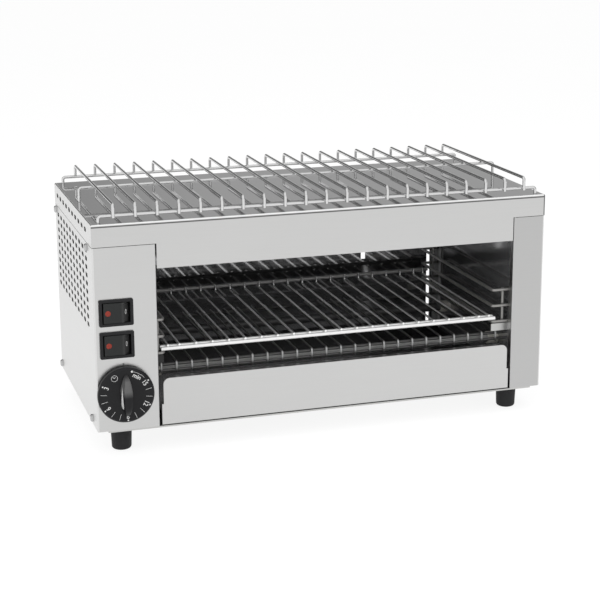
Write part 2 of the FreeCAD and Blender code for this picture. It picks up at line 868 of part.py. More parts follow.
def rocker_housing(height):
    """Switch body: bezel on the panel, deep body through the cut-out, a well and four blades."""
    centre = switch_from_left
    body = block(centre - housing_width / 2, centre + housing_width / 2, 0, housing_depth,
                 height - housing_height / 2, height + housing_height / 2)
    blades = []
    for side in (-1, 1):
        for level in (-1, 1):
            x = centre + side * blade_offset_x
            z = height + level * blade_offset_z
            blades.append(block(x - terminal_sheet / 2, x + terminal_sheet / 2, housing_depth,
                                housing_depth + terminal_length, z - terminal_width / 2, z + terminal_width / 2))
    well = block(centre - well_width / 2, centre + well_width / 2, -bezel_proud, well_depth - bezel_proud,
                 height - well_height / 2, height + well_height / 2)
    pin_length = well_height + 2 * (rocker_pin_length + pin_clearance)
    pin_holes = bar(at(centre, rocker_pivot, height - pin_length / 2), Z_AXIS,
                    turning_room(rocker_pin_radius, pin_clearance), pin_length, round_sides)
    return without(joined([bezel_plate(centre, height), body] + blades), [well, pin_holes])


def rocker(height):
    """Paddle with a broad left face, a ridge and a slanted right face, on two pins."""
    centre = switch_from_left
    slope_run = rocker_half_width - rocker_ridge
    low = height - well_height / 2 + running_gap
    corners = [
        (-rocker_half_width, rocker_face),
        (rocker_ridge, rocker_face),
        (rocker_half_width, rocker_face + slope_run),
        (rocker_half_width, rocker_pivot + rocker_back),
        (-rocker_back_start, rocker_pivot + rocker_back),
        (-rocker_half_width, rocker_face + rocker_back),
    ]
    profile = outline([at(centre + x, y, low) for x, y in corners])
    paddle = profile.extrude(Z_AXIS * (well_height - 2 * running_gap))
    pin_length = well_height + 2 * rocker_pin_length
    pins = bar(at(centre, rocker_pivot, height - pin_length / 2), Z_AXIS, rocker_pin_radius, pin_length,
               round_sides)
    seat = bar(at(centre - lens_offset, rocker_face, height), Y_AXIS, lens_radius, lens_seat, round_sides)
    return joined([paddle, pins]).cut(seat)


def rocker_lens(height):
    """Round signal lens with a bevelled rim, seated in the rocker's left face."""
    levels = ((lens_seat, lens_radius), (0, lens_radius), (-lens_proud, lens_radius - lens_proud))
    rings = [ring(at(switch_from_left - lens_offset, rocker_face + y, height), Y_AXIS, X_AXIS, radius,
                  round_sides) for y, radius in levels]
    return skinned(rings)


# Timer

def timer_screw_places():
    """Distances from the left of the two screws that hold the timer."""
    return [timer_from_left + side * timer_screw_spacing / 2 for side in (-1, 1)]


def timer_body():
    """Clockwork timer behind the panel with its bearing nose and a bore for the shaft."""
    half = timer_side / 2
    case = block(timer_from_left - half, timer_from_left + half, outer_sheet, outer_sheet + timer_depth,
                 timer_height - half, timer_height + half)
    nose = bar(at(timer_from_left, outer_sheet - timer_bearing_length, timer_height), Y_AXIS,
               timer_bearing_radius, timer_bearing_length, round_sides)
    bore_length = timer_bearing_length + shaft_in_timer
    bore = bar(at(timer_from_left, outer_sheet - timer_bearing_length, timer_height), Y_AXIS,
               turning_room(shaft_radius, shaft_clearance), bore_length, round_sides)
    holes = [screw_hole(x, 0, timer_height, Y_AXIS, screw_length) for x in timer_screw_places()]
    return without(joined([case, nose]), holes + [bore])


def timer_shaft():
    """Shaft from the timer into the knob."""
    start = -knob_gap - shaft_in_knob
    end = outer_sheet + shaft_in_timer - running_gap
    return bar(at(timer_from_left, start, timer_height), Y_AXIS, shaft_radius, end - start, round_sides)


def timer_screws():
    """Two low-headed screws that hold the timer to the panel, hidden behind the knob."""
    return Part.makeCompound([screw(at(x, 0, timer_height), Y_AXIS, timer_head, screw_length - running_gap)
                              for x in timer_screw_places()])


def grip_outline(y, share):
    """Outline of the grip at one depth: two bowed flanks between narrow ends, scaled by a share."""
    half = grip_length / 2
    bow = (grip_width - grip_tip_width) / 2
    flank = []
    for step in range(grip_steps + 1):
        way_along = 2 * step / grip_steps - 1
        flank.append((grip_tip_width / 2 + bow * math.cos(math.pi * way_along / 2), half * way_along))
    corners = flank + [(-x, z) for x, z in reversed(flank)]
    return [at(timer_from_left + x * share, y, timer_height + z * share) for x, z in corners]


def timer_knob():
    """Knob: bevelled skirt, a bowed grip that tapers to its crest, and a socket for the shaft."""
    back = -knob_gap
    face = back - knob_skirt
    levels = ((back, knob_radius), (face + knob_bevel, knob_radius), (face, knob_radius - knob_bevel))
    skirt = skinned([ring(at(timer_from_left, y, timer_height), Y_AXIS, X_AXIS, radius, knob_sides)
                     for y, radius in levels])
    grip = skinned([grip_outline(face, 1), grip_outline(face - grip_height, grip_crest_share)])
    socket = bar(at(timer_from_left, back - shaft_in_knob, timer_height), Y_AXIS, shaft_radius, shaft_in_knob,
                 round_sides)
    return joined([skirt, grip]).cut(socket)


# Mains inlet

def cable_gland():
    """Hollow gland through the casing's rear face: thread, hexagonal collar and tapered dome."""
    start = body_depth - outer_sheet - gland_inside
    length = outer_sheet + gland_inside
    dome_start = body_depth + gland_collar
    thread = bar(at(gland_from_left, start, gland_height), Y_AXIS, gland_thread_radius, length, round_sides)
    collar = bar(at(gland_from_left, body_depth, gland_height), Y_AXIS, gland_flats / 2, gland_collar,
                 shank_sides)
    dome = skinned([ring(at(gland_from_left, y, gland_height), Y_AXIS, X_AXIS, radius, round_sides)
                    for y, radius in ((dome_start, gland_dome_radius),
                                      (dome_start + gland_dome, gland_bore_radius + gland_wall))])
    bore = cylinder(gland_from_left, start, gland_height, gland_bore_radius, length + gland_reach, Y_AXIS)
    return joined([thread, collar, dome]).cut(bore)


def gland_locknut():
    """Hexagonal nut on the gland's thread inside the casing."""
    start = at(gland_from_left, body_depth - outer_sheet - locknut_thickness, gland_height)
    nut = bar(start, Y_AXIS, gland_flats / 2, locknut_thickness, shank_sides)
    return nut.cut(bar(start, Y_AXIS, gland_thread_radius + pin_clearance, locknut_thickness, round_sides))


def terminal_block():
    """Connector block on the pan with one raised pole for each conductor."""
    left = outer_sheet + base_flange + cutout_gap
    front = body_depth - block_margin - block_length
    pitch = block_length / block_poles
    solids = [block(left, left + block_width, front, front + block_length, 0, block_height / 2)]
    for pole in range(block_poles):
        middle = front + (pole + 0.5) * pitch
        solids.append(block(left + (block_width - block_pole_width) / 2, left + (block_width + block_pole_width) / 2,
                            middle - block_pole_length / 2, middle + block_pole_length / 2,
                            block_height / 2, block_height))
    return joined(solids)


parts = {
    "base_pan": base_pan(),
    "left_casing": left_casing(),
    "right_casing": right_casing(),
    "top_cover": top_cover(),
    "rear_panel": rear_panel(),
    "left_cavity_wall": cavity_wall(left_wall, -1),
    "right_cavity_wall": cavity_wall(right_wall, 1),
    "cavity_ceiling": cavity_ceiling(),
    "left_rack_guide": rack_guide(left_wall, left_guide_reach, left_post_inset, 1),
    "right_rack_guide": rack_guide(right_wall, right_guide_reach, right_post_inset, -1),
    "guard_brackets": guard_brackets(),
    "wire_rack": wire_rack(),
    "crumb_tray_front": crumb_tray_front(),
    "crumb_tray_pan": crumb_tray_pan(),
    "lower_guard": lower_guard(),
    "upper_guard": upper_guard(),
    "lower_heating_coils": heating_coils("lower"),
    "upper_heating_coils": heating_coils("upper"),
    "lower_tube_caps": tube_caps("lower"),
    "upper_tube_caps": tube_caps("upper"),
    "tube_terminals": tube_terminals(),
    "top_rack": top_rack(),
    "timer_body": timer_body(),
    "timer_shaft": timer_shaft(),
    "timer_screws": timer_screws(),
    "timer_knob": timer_knob(),
    "cable_gland": cable_gland(),
    "gland_locknut": gland_locknut(),
    "terminal_block": terminal_block(),
    "feet": feet(),
    "foot_screws": foot_screws(),
    "side_screws": side_screws(),
    "rear_screws": rear_screws(),
    "cover_tabs": cover_tabs(),
    "base_brackets": base_brackets(),
}
for name, (tube_y, tube_z) in tube_places().items():
    parts[name + "_tube"] = heating_tube(tube_y, tube_z)
for name, switch_height in switch_heights.items():
    parts[name + "_rocker_housing"] = rocker_housing(switch_height)
    parts[name + "_rocker"] = rocker(switch_height)
    parts[name + "_rocker_lens"] = rocker_lens(switch_height)

os.makedirs("parts", exist_ok=True)
for name, shape in parts.items():
    shape.exportStep("parts/" + name + ".step")
    print(name, "solids", len(shape.Solids), "volume", round(shape.Volume, 1), "valid", shape.isValid())
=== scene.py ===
# %% [markdown]
# # A sandwich toaster for a snack bar
# The machine is a folded steel box with an open front. Wires carry the food, quartz tubes heat it, and the
# controls sit in the left leg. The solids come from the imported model, and this script dresses them. Every
# piece is modelled in millimetres from the casing's front lower left corner, as in a workshop drawing, and
# turned into metres only when it is finished.

import json
import math

import bmesh
import bpy
from mathutils import Matrix, Vector


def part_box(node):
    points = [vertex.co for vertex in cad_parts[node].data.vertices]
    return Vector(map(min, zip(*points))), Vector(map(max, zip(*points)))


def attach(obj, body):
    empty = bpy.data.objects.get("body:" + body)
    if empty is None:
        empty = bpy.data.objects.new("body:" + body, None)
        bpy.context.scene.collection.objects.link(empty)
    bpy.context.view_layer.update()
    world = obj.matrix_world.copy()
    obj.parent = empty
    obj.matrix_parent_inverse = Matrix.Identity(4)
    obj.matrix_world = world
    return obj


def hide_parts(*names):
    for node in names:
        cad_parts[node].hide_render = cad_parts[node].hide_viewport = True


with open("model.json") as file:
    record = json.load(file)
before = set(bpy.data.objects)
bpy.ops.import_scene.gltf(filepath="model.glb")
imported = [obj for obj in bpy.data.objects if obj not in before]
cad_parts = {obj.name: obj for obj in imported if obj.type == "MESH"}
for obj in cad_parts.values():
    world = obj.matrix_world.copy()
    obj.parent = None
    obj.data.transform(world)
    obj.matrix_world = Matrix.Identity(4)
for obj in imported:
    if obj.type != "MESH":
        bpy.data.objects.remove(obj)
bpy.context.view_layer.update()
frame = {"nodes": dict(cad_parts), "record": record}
nodes = frame["nodes"]
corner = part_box("left_casing")[0]
MM = 0.001
body_of = {node: body for body, members in frame["record"]["behaviour"]["bodies"].items() for node in members}
print("nodes", len(nodes), "casing corner", tuple(round(value, 4) for value in corner))

# %% [markdown]
# ## The camera
# The photograph was taken from the left and a little above with a long lens, so the box keeps nearly
# parallel edges. A camera can be aimed with a constraint, but its place, turn, tilt and roll were fitted to
# the corners of the casing, so the matrix is written out from them. A small shift keeps the uprights steep.

# %% Place the camera
camera_place = Vector((-224.7, -1352.4, 496.1))
turn, tilt, roll = (math.radians(angle) for angle in (17.326, 13.437, -0.257))
photo_pixels, focal_pixels = 600, 1546.5
forward = Vector((math.sin(turn) * math.cos(tilt), math.cos(turn) * math.cos(tilt), -math.sin(tilt)))
level_right = Vector((math.cos(turn), -math.sin(turn), 0))
upward = level_right.cross(forward)
right = level_right * math.cos(roll) + upward * math.sin(roll)
upward = right.cross(forward)

lens_data = bpy.data.cameras.new("camera")
lens_data.sensor_width = 36.0
lens_data.lens = lens_data.sensor_width * focal_pixels / photo_pixels
lens_data.shift_y = -0.08
lens_data.clip_end = 20.0
camera = bpy.data.objects.new("camera", lens_data)
bpy.context.scene.collection.objects.link(camera)
camera_turn = Matrix((right, upward, -forward)).transposed().to_4x4()
camera.matrix_world = Matrix.Translation(corner + camera_place * MM) @ camera_turn
bpy.context.scene.camera = camera
print("lens", round(lens_data.lens, 1), "mm")

# %% [markdown]
# ## Writing shader maths as sums
# A procedural finish is mostly arithmetic on noise. Wiring every Math node by hand hides that, so a small
# class wraps a socket and turns +, -, * and / into nodes. Any other node comes from one method that sets the
# node's own settings first and then its sockets.

# %% A socket that can be added and multiplied
class Amount:
    def __init__(self, finish, socket):
        self.finish = finish
        self.socket = socket

    def maths(self, operation, first, second):
        return self.finish.node("ShaderNodeMath", {"operation": operation}, {0: first, 1: second})

    def __add__(self, other): return self.maths("ADD", self, other)
    def __radd__(self, other): return self.maths("ADD", other, self)
    def __sub__(self, other): return self.maths("SUBTRACT", self, other)
    def __rsub__(self, other): return self.maths("SUBTRACT", other, self)
    def __mul__(self, other): return self.maths("MULTIPLY", self, other)
    def __rmul__(self, other): return self.maths("MULTIPLY", other, self)
    def __truediv__(self, other): return self.maths("DIVIDE", self, other)
    def __rtruediv__(self, other): return self.maths("DIVIDE", other, self)


# %% A finish that makes its own nodes
class Finish:
    def __init__(self, name, tree=None):
        if tree is None:
            self.material = bpy.data.materials.new(name)
            self.material.use_nodes = True
            tree = self.material.node_tree
        self.tree = tree
        self.shader = next((node for node in tree.nodes if node.type == "BSDF_PRINCIPLED"), None)

    def node(self, kind, settings=None, sockets=None, output=0):
        made = self.tree.nodes.new(kind)
        for name, value in (settings or {}).items():
            if name == "stops":
                elements = made.color_ramp.elements
                for place, (position, shade) in enumerate(value):
                    stop = elements[place] if place < 2 else elements.new(position)
                    stop.position = position
                    stop.color = (shade, shade, shade, 1)
            else:
                setattr(made, name, value)
        for name, value in (sockets or {}).items():
            if isinstance(value, Amount):
                self.tree.links.new(value.socket, made.inputs[name])
            else:
                made.inputs[name].default_value = value
        return Amount(self, made.outputs[output])

    def set(self, **values):
        for name, value in values.items():
            socket = self.shader.inputs[name.replace("_", " ")]
            if isinstance(value, Amount):
                self.tree.links.new(value.socket, socket)
            else:
                socket.default_value = value

    def place(self, stretch):
        spot = self.node("ShaderNodeTexCoord", output="Object")
        return self.node("ShaderNodeMapping", {}, {"Vector": spot, "Scale": stretch})

    def noise(self, scale, stretch=(1, 1, 1), detail=3.0, rough=0.5):
        return self.node("ShaderNodeTexNoise", {}, {"Vector": self.place(stretch), "Scale": scale,
                                                    "Detail": detail, "Roughness": rough})

    def shade(self, factor, dark, light):
        """A mix of two colours, whose sockets 6, 7 and 2 come after those for numbers and vectors."""
        dark, light = (colour if isinstance(colour, Amount) else (*colour, 1) for colour in (dark, light))
        return self.node("ShaderNodeMix", {"data_type": "RGBA"}, {0: factor, 6: dark, 7: light}, output=2)

    def ramp(self, factor, *stops):
        return self.node("ShaderNodeValToRGB", {"stops": stops}, {0: factor})

    def band(self, axis, low, high):
        """One inside a thin slice of the object along an axis, nought outside it."""
        spot = self.node("ShaderNodeTexCoord", output="Object")
        along = self.node("ShaderNodeSeparateXYZ", {}, {0: spot}, output=axis)
        return self.ramp((along - low) / (high - low), (0.0, 0.0), (0.3, 1.0), (0.7, 1.0), (1.0, 0.0))

    def paint_bands(self, colour, painted_bands):
        """The colour with thin slices of the object tinted with painted shade or painted highlights, and the
        roughness that the slices add.
        """
        dulling = 0.0
        for axis, low, high, tint, dull in painted_bands:
            painted_band_mask = self.band(axis, low, high)
            colour = self.shade(painted_band_mask, colour, (tint, tint, tint))
            dulling = dulling + dull * painted_band_mask
        return colour, dulling

    def bump(self, height, strength, distance):
        return self.node("ShaderNodeBump", {}, {"Height": height, "Strength": strength, "Distance": distance})


# %% [markdown]
# ## Steel, from satin to mirror
# All sheet here is stainless steel, and only its polish differs, apart from painted light and shade. The
# legs, header and tray front are satin, with fine grinding lines along the sheet; the right leg's front is
# the same satin made darker, painted shade. The top plate is polished nearly to a mirror, and the sheets
# round the heat are a darker mirror. A metal has no colour of its own besides its reflection, so the finish
# lives in the
# roughness: noise stretched along the grinding direction gives lines, and broad noise gives the handled look.
# A painted band is a thin slice of the object with its own tint: painted shade where the surface should fall
# dark, and a painted highlight where it should catch the light. It holds the axis, the start and end in
# metres, the tint, and the roughness that it adds.

# %% Mix the steels
def steel(name, light, roughness, lines, line_depth=0.04, unevenness=0.05, metal=1.0, painted_bands=()):
    finish = Finish(name)
    grain = finish.noise(900.0, lines, 2.0, 0.6)
    broad = finish.noise(7.0, (1, 1, 1), 3.0)
    marks = finish.noise(60.0, lines, 4.0, 0.6)
    dark = tuple(value * 0.9 for value in light)
    colour, dulling = finish.paint_bands(finish.shade(grain * 0.35 + broad * 0.65, dark, light), painted_bands)
    finish.set(Base_Color=colour, Metallic=metal,
               Roughness=roughness - unevenness / 2 + unevenness * broad + 0.05 * (marks - 0.5) + dulling,
               Normal=finish.bump(grain, line_depth, 0.00005))
    return finish.material


# Bands painted into the front satin: painted shade under the front fold and along the right-hand edge, and a
# painted highlight on the fold itself.
front_painted_bands = [
    ("Z", 0.2192, 0.2210, 0.12, 0.0),  # painted shade: the dark line under the cover's front fold
    ("Z", 0.2209, 0.2232, 0.97, 0.0),  # painted highlight: the fold itself, bright
    ("X", 0.2236, 0.2254, 0.14, 0.0),  # painted shade along the right-hand edge
]
satin_front = steel("satin_steel_front", (0.63, 0.63, 0.625), 0.30, (0.03, 1, 1), painted_bands=front_painted_bands)
# The right leg's satin is the front's made darker, painted shade.
satin_right_painted_shade = steel("satin_steel_right_leg_painted_shade", (0.53, 0.53, 0.527), 0.30, (0.03, 1, 1), painted_bands=front_painted_bands)
satin_side = steel("satin_steel_side", (0.74, 0.74, 0.735), 0.32, (1, 0.03, 1))
mirror_plate = steel("polished_top_plate", (0.57, 0.57, 0.57), 0.045, (0.05, 1, 1), 0.008, 0.02)
rear_outside = steel("rear_panel_outside", (0.6, 0.6, 0.605), 0.2, (0.03, 1, 1))
# Inside, the rear panel has a darker band across it at the rack's height, painted shade.
rear_mirror = steel("polished_rear_steel_painted_shade", (0.52, 0.52, 0.53), 0.06, (0.05, 1, 1), 0.015, 0.03, metal=0.84,
                    painted_bands=[("Z", 0.0985, 0.1175, 0.14, 0.0)])
# Towards the rear of the cavity the liner is darker, painted shade, and rougher.
dark_liner = steel("polished_liner_steel_painted_shade", (0.4, 0.4, 0.405), 0.11, (1, 0.05, 1), 0.02, 0.04, metal=0.84,
                   painted_bands=[("Y", 0.0780, 0.1200, 0.04, 0.45)])
tray_steel = steel("darkened_tray_steel", (0.12, 0.12, 0.12), 0.25, (1, 0.05, 1), 0.02, 0.08)
dull_zinc = steel("zinc_plated_sheet", (0.58, 0.58, 0.57), 0.38, (1, 1, 1), 0.05, 0.12)
# The brackets on the left are darker, painted shade on the cavity's shaded left side.
bracket_zinc_painted_shade = steel("bracket_zinc_painted_shade", (0.58, 0.58, 0.57), 0.38, (1, 1, 1), 0.05, 0.12,
                     painted_bands=[("X", -0.2, -0.1, 0.04, 0.0)])
bright_wire = steel("plated_wire", (0.72, 0.72, 0.72), 0.16, (1, 1, 1), 0.01, 0.06)
rack_wire = steel("toasting_rack_wire", (0.9, 0.9, 0.895), 0.12, (1, 1, 1), 0.01, 0.04, metal=0.86)
# The rack's front bars are brighter, painted light where the front lamp falls on them, and its rear bar
# darker, painted shade.
front_bars_painted_light = steel("front_bars_painted_highlight", (0.88, 0.88, 0.875), 0.2, (1, 1, 1), 0.01, 0.06, metal=0.65)
rear_bar_painted_shade = steel("rear_bar_steel_painted_shade", (0.42, 0.415, 0.41), 0.45, (1, 1, 1), 0.02, 0.08, metal=0.4)
cavity_wire = steel("heat_dulled_wire", (0.3, 0.295, 0.285), 0.3, (1, 1, 1), 0.01, 0.08, metal=0.7)
# The guard wire is dark. A band along the front paints a highlight on the tops of the front legs, and a band
# lower down paints their lower part dark again.
guard_wire = steel("dark_guard_wire_painted_highlight", (0.1, 0.1, 0.098), 0.4, (1, 1, 1), 0.01, 0.08, metal=0.5,
                   painted_bands=[("Y", -0.0870, -0.0812, 0.55, 0.0), ("Z", 0.0660, 0.0748, 0.1, 0.0)])
screw_metal = steel("screw_steel", (0.52, 0.52, 0.52), 0.22, (1, 1, 1), 0.02, 0.06)
print("steels mixed")

# %% [markdown]
# ## Plastic, rubber, glass and ceramic
# Moulded black plastic is never quite black, and a fine grain breaks its gloss. Rubber is duller still. The
# quartz of a heating tube is milky, so a little transmission under a pale colour is enough. The signal lenses
# are dark red plastic with a soft gloss.

# %% Mix the other materials
def moulded(name, dark, light, roughness, grain_scale, depth, painted_bands=(), **extra):
    finish = Finish(name)
    grain = finish.noise(grain_scale, (1, 1, 1), 3.0)
    broad = finish.noise(25.0, (1, 1, 1), 2.0)
    colour, _ = finish.paint_bands(finish.shade(broad * 0.7 + grain * 0.3, dark, light), painted_bands)
    finish.set(Base_Color=colour,
               Roughness=roughness + 0.1 * (grain - 0.5) + 0.08 * (broad - 0.5),
               Normal=finish.bump(grain, depth, 0.0001), **extra)
    return finish.material


black_plastic = moulded("black_plastic", (0.009, 0.009, 0.01), (0.017, 0.017, 0.018), 0.42, 3500.0, 0.15,
                        Specular_IOR_Level=0.2)
knob_plastic = moulded("knob_plastic", (0.006, 0.006, 0.007), (0.012, 0.012, 0.013), 0.3, 3500.0, 0.1,
                       Specular_IOR_Level=0.2)
# The grip's band is a painted highlight: its upper part is lighter where the arch tilts up towards the light
# above.
grip_painted_highlight = moulded("grip_painted_highlight", (0.006, 0.006, 0.007), (0.012, 0.012, 0.013), 0.3, 3500.0, 0.06,
                    painted_bands=[("Z", 0.0620, 0.0825, 0.1, 0.0)], Specular_IOR_Level=0.2)
# The band on the paddles' right-hand part is painted shade on the facet that turns away from the light.
rocker_plastic = moulded("rocker_plastic", (0.011, 0.012, 0.012), (0.02, 0.021, 0.021), 0.3, 3000.0, 0.08,
                         painted_bands=[("X", -0.2005, -0.1900, 0.04, 0.0)], Specular_IOR_Level=0.25)
foot_rubber = moulded("foot_rubber", (0.011, 0.011, 0.012), (0.02, 0.02, 0.021), 0.62, 1800.0, 0.25,
                      Specular_IOR_Level=0.25)
timer_case = moulded("timer_case", (0.6, 0.59, 0.55), (0.72, 0.7, 0.66), 0.5, 1500.0, 0.1)
white_ceramic = moulded("white_ceramic", (0.6, 0.58, 0.53), (0.78, 0.76, 0.7), 0.62, 1200.0, 0.3)
white_print_and_painted_highlight = moulded("white_print_and_painted_highlight", (0.55, 0.55, 0.55), (0.68, 0.68, 0.67), 0.5, 4000.0, 0.1)
print_dark = moulded("print_dark", (0.08, 0.08, 0.08), (0.12, 0.12, 0.12), 0.5, 4000.0, 0.1)
heater_wire = moulded("heater_wire", (0.16, 0.14, 0.13), (0.3, 0.27, 0.25), 0.5, 2500.0, 0.3, Metallic=0.8)
red_lens = moulded("red_lens", (0.18, 0.018, 0.01), (0.28, 0.032, 0.018), 0.25, 900.0, 0.1,
                   Specular_IOR_Level=0.3)
# The band darkens the two rear tubes, painted shade at the back of the cavity.
quartz = moulded("milky_quartz_painted_shade", (0.36, 0.36, 0.355), (0.44, 0.44, 0.43), 0.15, 300.0, 0.05,
                 painted_bands=[("Y", 0.0480, 0.0680, 0.08, 0.0)], Transmission_Weight=0.12, IOR=1.46)
print("other materials mixed")

# %% [markdown]
# ## From bmesh to a finished piece
# Each piece is built in a bmesh, in millimetres. Finishing it takes the same steps each time: merge what
# meets, point the faces outwards unless they are already right, scale to metres, move to the casing's corner,
# hang it on the empty of the body that carries it, and hide the solid that it replaces.

# %% Helpers that finish a piece
merge_distance = 0.0005


def finished(name, bm, materials, node, replace=True, outward=True, smooth=32.0):
    bmesh.ops.remove_doubles(bm, verts=bm.verts, dist=merge_distance)
    if outward:
        bmesh.ops.recalc_face_normals(bm, faces=bm.faces)
    for face in bm.faces:
        face.smooth = True
    for edge in bm.edges:
        edge.smooth = edge.is_manifold and edge.calc_face_angle() < math.radians(smooth)
    bmesh.ops.scale(bm, vec=(MM, MM, MM), verts=bm.verts)
    bmesh.ops.translate(bm, vec=corner, verts=bm.verts)
    mesh = bpy.data.meshes.new(name)
    bm.to_mesh(mesh)
    bm.free()
    for material in materials if isinstance(materials, (list, tuple)) else [materials]:
        mesh.materials.append(material)
    piece = bpy.data.objects.new(name, mesh)
    bpy.context.scene.collection.objects.link(piece)
    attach(piece, body_of[node])
    if replace:
        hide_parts(node)
    print(name, len(mesh.polygons), "faces")
    return piece


def keep_flats(piece):
    """Large flat faces keep their own normal, and only the small faces of a bend or bevel shade round."""
    level = piece.modifiers.new("flats", "WEIGHTED_NORMAL")
    level.keep_sharp = True
    level.weight = 100
    return piece


def push(bm, edges, travel):
    made = bmesh.ops.extrude_edge_only(bm, edges=edges)["geom"]
    bmesh.ops.translate(bm, vec=travel, verts=[item for item in made if isinstance(item, bmesh.types.BMVert)])
    return [item for item in made if isinstance(item, bmesh.types.BMEdge)
            and all(vert in made for vert in item.verts)]


def swing(bm, edges, centre, axis, angle, steps):
    verts = list({vert for edge in edges for vert in edge.verts})
    made = bmesh.ops.spin(bm, geom=verts + list(edges), cent=centre, axis=axis, angle=angle, steps=steps)
    return [item for item in made["geom_last"] if isinstance(item, bmesh.types.BMEdge)]


# %% [markdown]
# ## Round wire
# The racks are bent from round wire and spot welded. A curve with a bevel would be quick, but its corners
# would follow the curve's own rounding. Here a circle is pushed along each straight run and swung round each
# bend, as the wire goes through a bending tool, so every bend has the tool's radius.

# %% A bent wire
def bent_wire(bm, points, diameter, bend=3.0, sides=12, steps=6):
    points = [Vector(point) for point in points]
    ways = [(after - before).normalized() for before, after in zip(points, points[1:])]
    start = Matrix.Translation(points[0]) @ ways[0].to_track_quat("Z", "Y").to_matrix().to_4x4()
    circle = bmesh.ops.create_circle(bm, cap_ends=False, radius=diameter / 2, segments=sides, matrix=start)
    first = edges = list({edge for vert in circle["verts"] for edge in vert.link_edges})
    reached = points[0]
    for index, way in enumerate(ways):
        stop = points[index + 1]
        if index + 1 < len(ways):
            onward = ways[index + 1]
            angle = way.angle(onward)
            reach = bend * math.tan(angle / 2)
            stop = stop - way * reach
        edges = push(bm, edges, stop - reached)
        if index + 1 < len(ways):
            axis = way.cross(onward).normalized()
            edges = swing(bm, edges, stop + axis.cross(way) * bend, axis, angle, steps)
            reached = points[index + 1] + onward * reach
    for ring in (first, edges):
        bmesh.ops.contextual_create(bm, geom=ring)


def spread(first, last, count):
    return [first + (last - first) * index / (count - 1) for index in range(count)]


# %% The warming rack on the top plate
staple_front, staple_rear, staple_end, staple_top = 3.6, 211.4, 201.8, 214.0
frame_left, frame_right, frame_foot = 8.0, 442.0, 197.15
bm = bmesh.new()
for x in spread(21.5, 428.5, 21):
    bent_wire(bm, [(x, staple_front, staple_end), (x, staple_front, staple_top), (x, staple_rear, staple_top),
                   (x, staple_rear, staple_end)], diameter=3.0, bend=3.0)
for y, z in ((6.6, 203.3), (107.5, 211.0), (208.4, 203.3)):
    bent_wire(bm, [(frame_left, y, frame_foot), (frame_left, y, z), (frame_right, y, z),
                   (frame_right, y, frame_foot)], diameter=3.0, bend=2.6)
finished("warming_rack_wires", bm, bright_wire, "top_rack")

# %% The sliding toasting rack
bar_left, bar_right, front_bars_height = 63.8, 403.7, 72.1
rear_bar_place, rear_bar_height = 190.1, 79.8
wire_front, wire_rear, wire_height, wire_end = 9.1, 187.0, 75.2, 81.8
side_wires = [70.3, 397.2]
bm = bmesh.new()
for y in (10.0, 16.5):
    bent_wire(bm, [(bar_left, y, front_bars_height), (bar_right, y, front_bars_height)], diameter=4.0)
bent_wire(bm, [(bar_left, rear_bar_place, rear_bar_height), (bar_right, rear_bar_place, rear_bar_height)],
          diameter=4.0)
# The rear bar gets the darker steel, painted shade, and the front bars the brighter one, painted light.
for face in bm.faces:
    face.material_index = 1 if face.calc_center_median().y > rear_bar_place / 2 else 2
for x in side_wires + spread(81.3, 386.2, 20):
    bent_wire(bm, [(x, wire_front, wire_height), (x, wire_rear, wire_height), (x, wire_rear, wire_end)],
              diameter=2.2, bend=2.2)
finished("toasting_rack_wires", bm, [rack_wire, rear_bar_painted_shade, front_bars_painted_light], "wire_rack")

# %% The ladders that carry it
rung_front, rung_rear, rung_heights = 10.0, 199.0, (68.3, 84.5, 100.7)
post_places, post_foot, post_head = (13.0, 196.0), 66.8, 102.2
for node, wall, rail, post in (("left_rack_guide", 58.0, 66.5, 61.2),
                               ("right_rack_guide", 418.5, 401.0, 413.0)):
    bm = bmesh.new()
    for z in rung_heights:
        bent_wire(bm, [(wall, rung_front, z), (rail, rung_front, z), (rail, rung_rear, z),
                       (wall, rung_rear, z)], diameter=3.0, bend=3.0)
    for y in post_places:
        bent_wire(bm, [(post, y, post_foot), (post, y, post_head)], diameter=3.0)
    finished(node + "_wires", bm, cavity_wire, node)

# %% The guards over the lower and under the upper tubes
guard_left, guard_right, guard_front, guard_rear = 58.3, 418.2, 22.0, 189.0
first_guard_wire, last_guard_wire = 66.0, 410.5
lower_guard_height, lower_hook_end, upper_guard_height = 54.5, 44.5, 156.5
bm = bmesh.new()
for x in spread(first_guard_wire, last_guard_wire, 24):
    bent_wire(bm, [(x, guard_front, lower_hook_end), (x, guard_front, lower_guard_height),
                   (x, guard_rear, lower_guard_height)], diameter=2.0, bend=2.0)
for y, z in ((25.0, 52.0), (186.0, 52.0), (24.5, 46.0)):
    bent_wire(bm, [(guard_left, y, z), (guard_right, y, z)], diameter=3.0)
finished("lower_guard_wires", bm, guard_wire, "lower_guard")
bm = bmesh.new()
for x in spread(first_guard_wire, last_guard_wire, 8):
    bent_wire(bm, [(x, guard_front, upper_guard_height), (x, guard_rear, upper_guard_height)], diameter=2.0)
for y in (25.0, 186.0):
    bent_wire(bm, [(guard_left, y, 159.0), (guard_right, y, 159.0)], diameter=3.0)
finished("upper_guard_wires", bm, cavity_wire, "upper_guard")

# %% [markdown]
# ## Punched and folded sheet
# The legs are one sheet each: punched flat, then folded. The same order works here. The outline and every
# slot are loops of edges, one fill makes the sheet between them, and its border edges are swung round each
# fold and pushed along each flange. The front has holes of its own, so it is a second filled outline that
# meets the fold. Solidify gives the millimetre of thickness at the end, so the slots get walls.

# %% Helpers for sheet
sheet_thickness = 1.0
FACING = {
    "side": Matrix.Rotation(math.radians(90), 4, "Y"),
    "front": Matrix.Rotation(math.radians(90), 4, "X"),
}


def loop_of(bm, points):
    verts = [bm.verts.new(point) for point in points]
    return [bm.edges.new(pair) for pair in zip(verts, verts[1:] + verts[:1])]


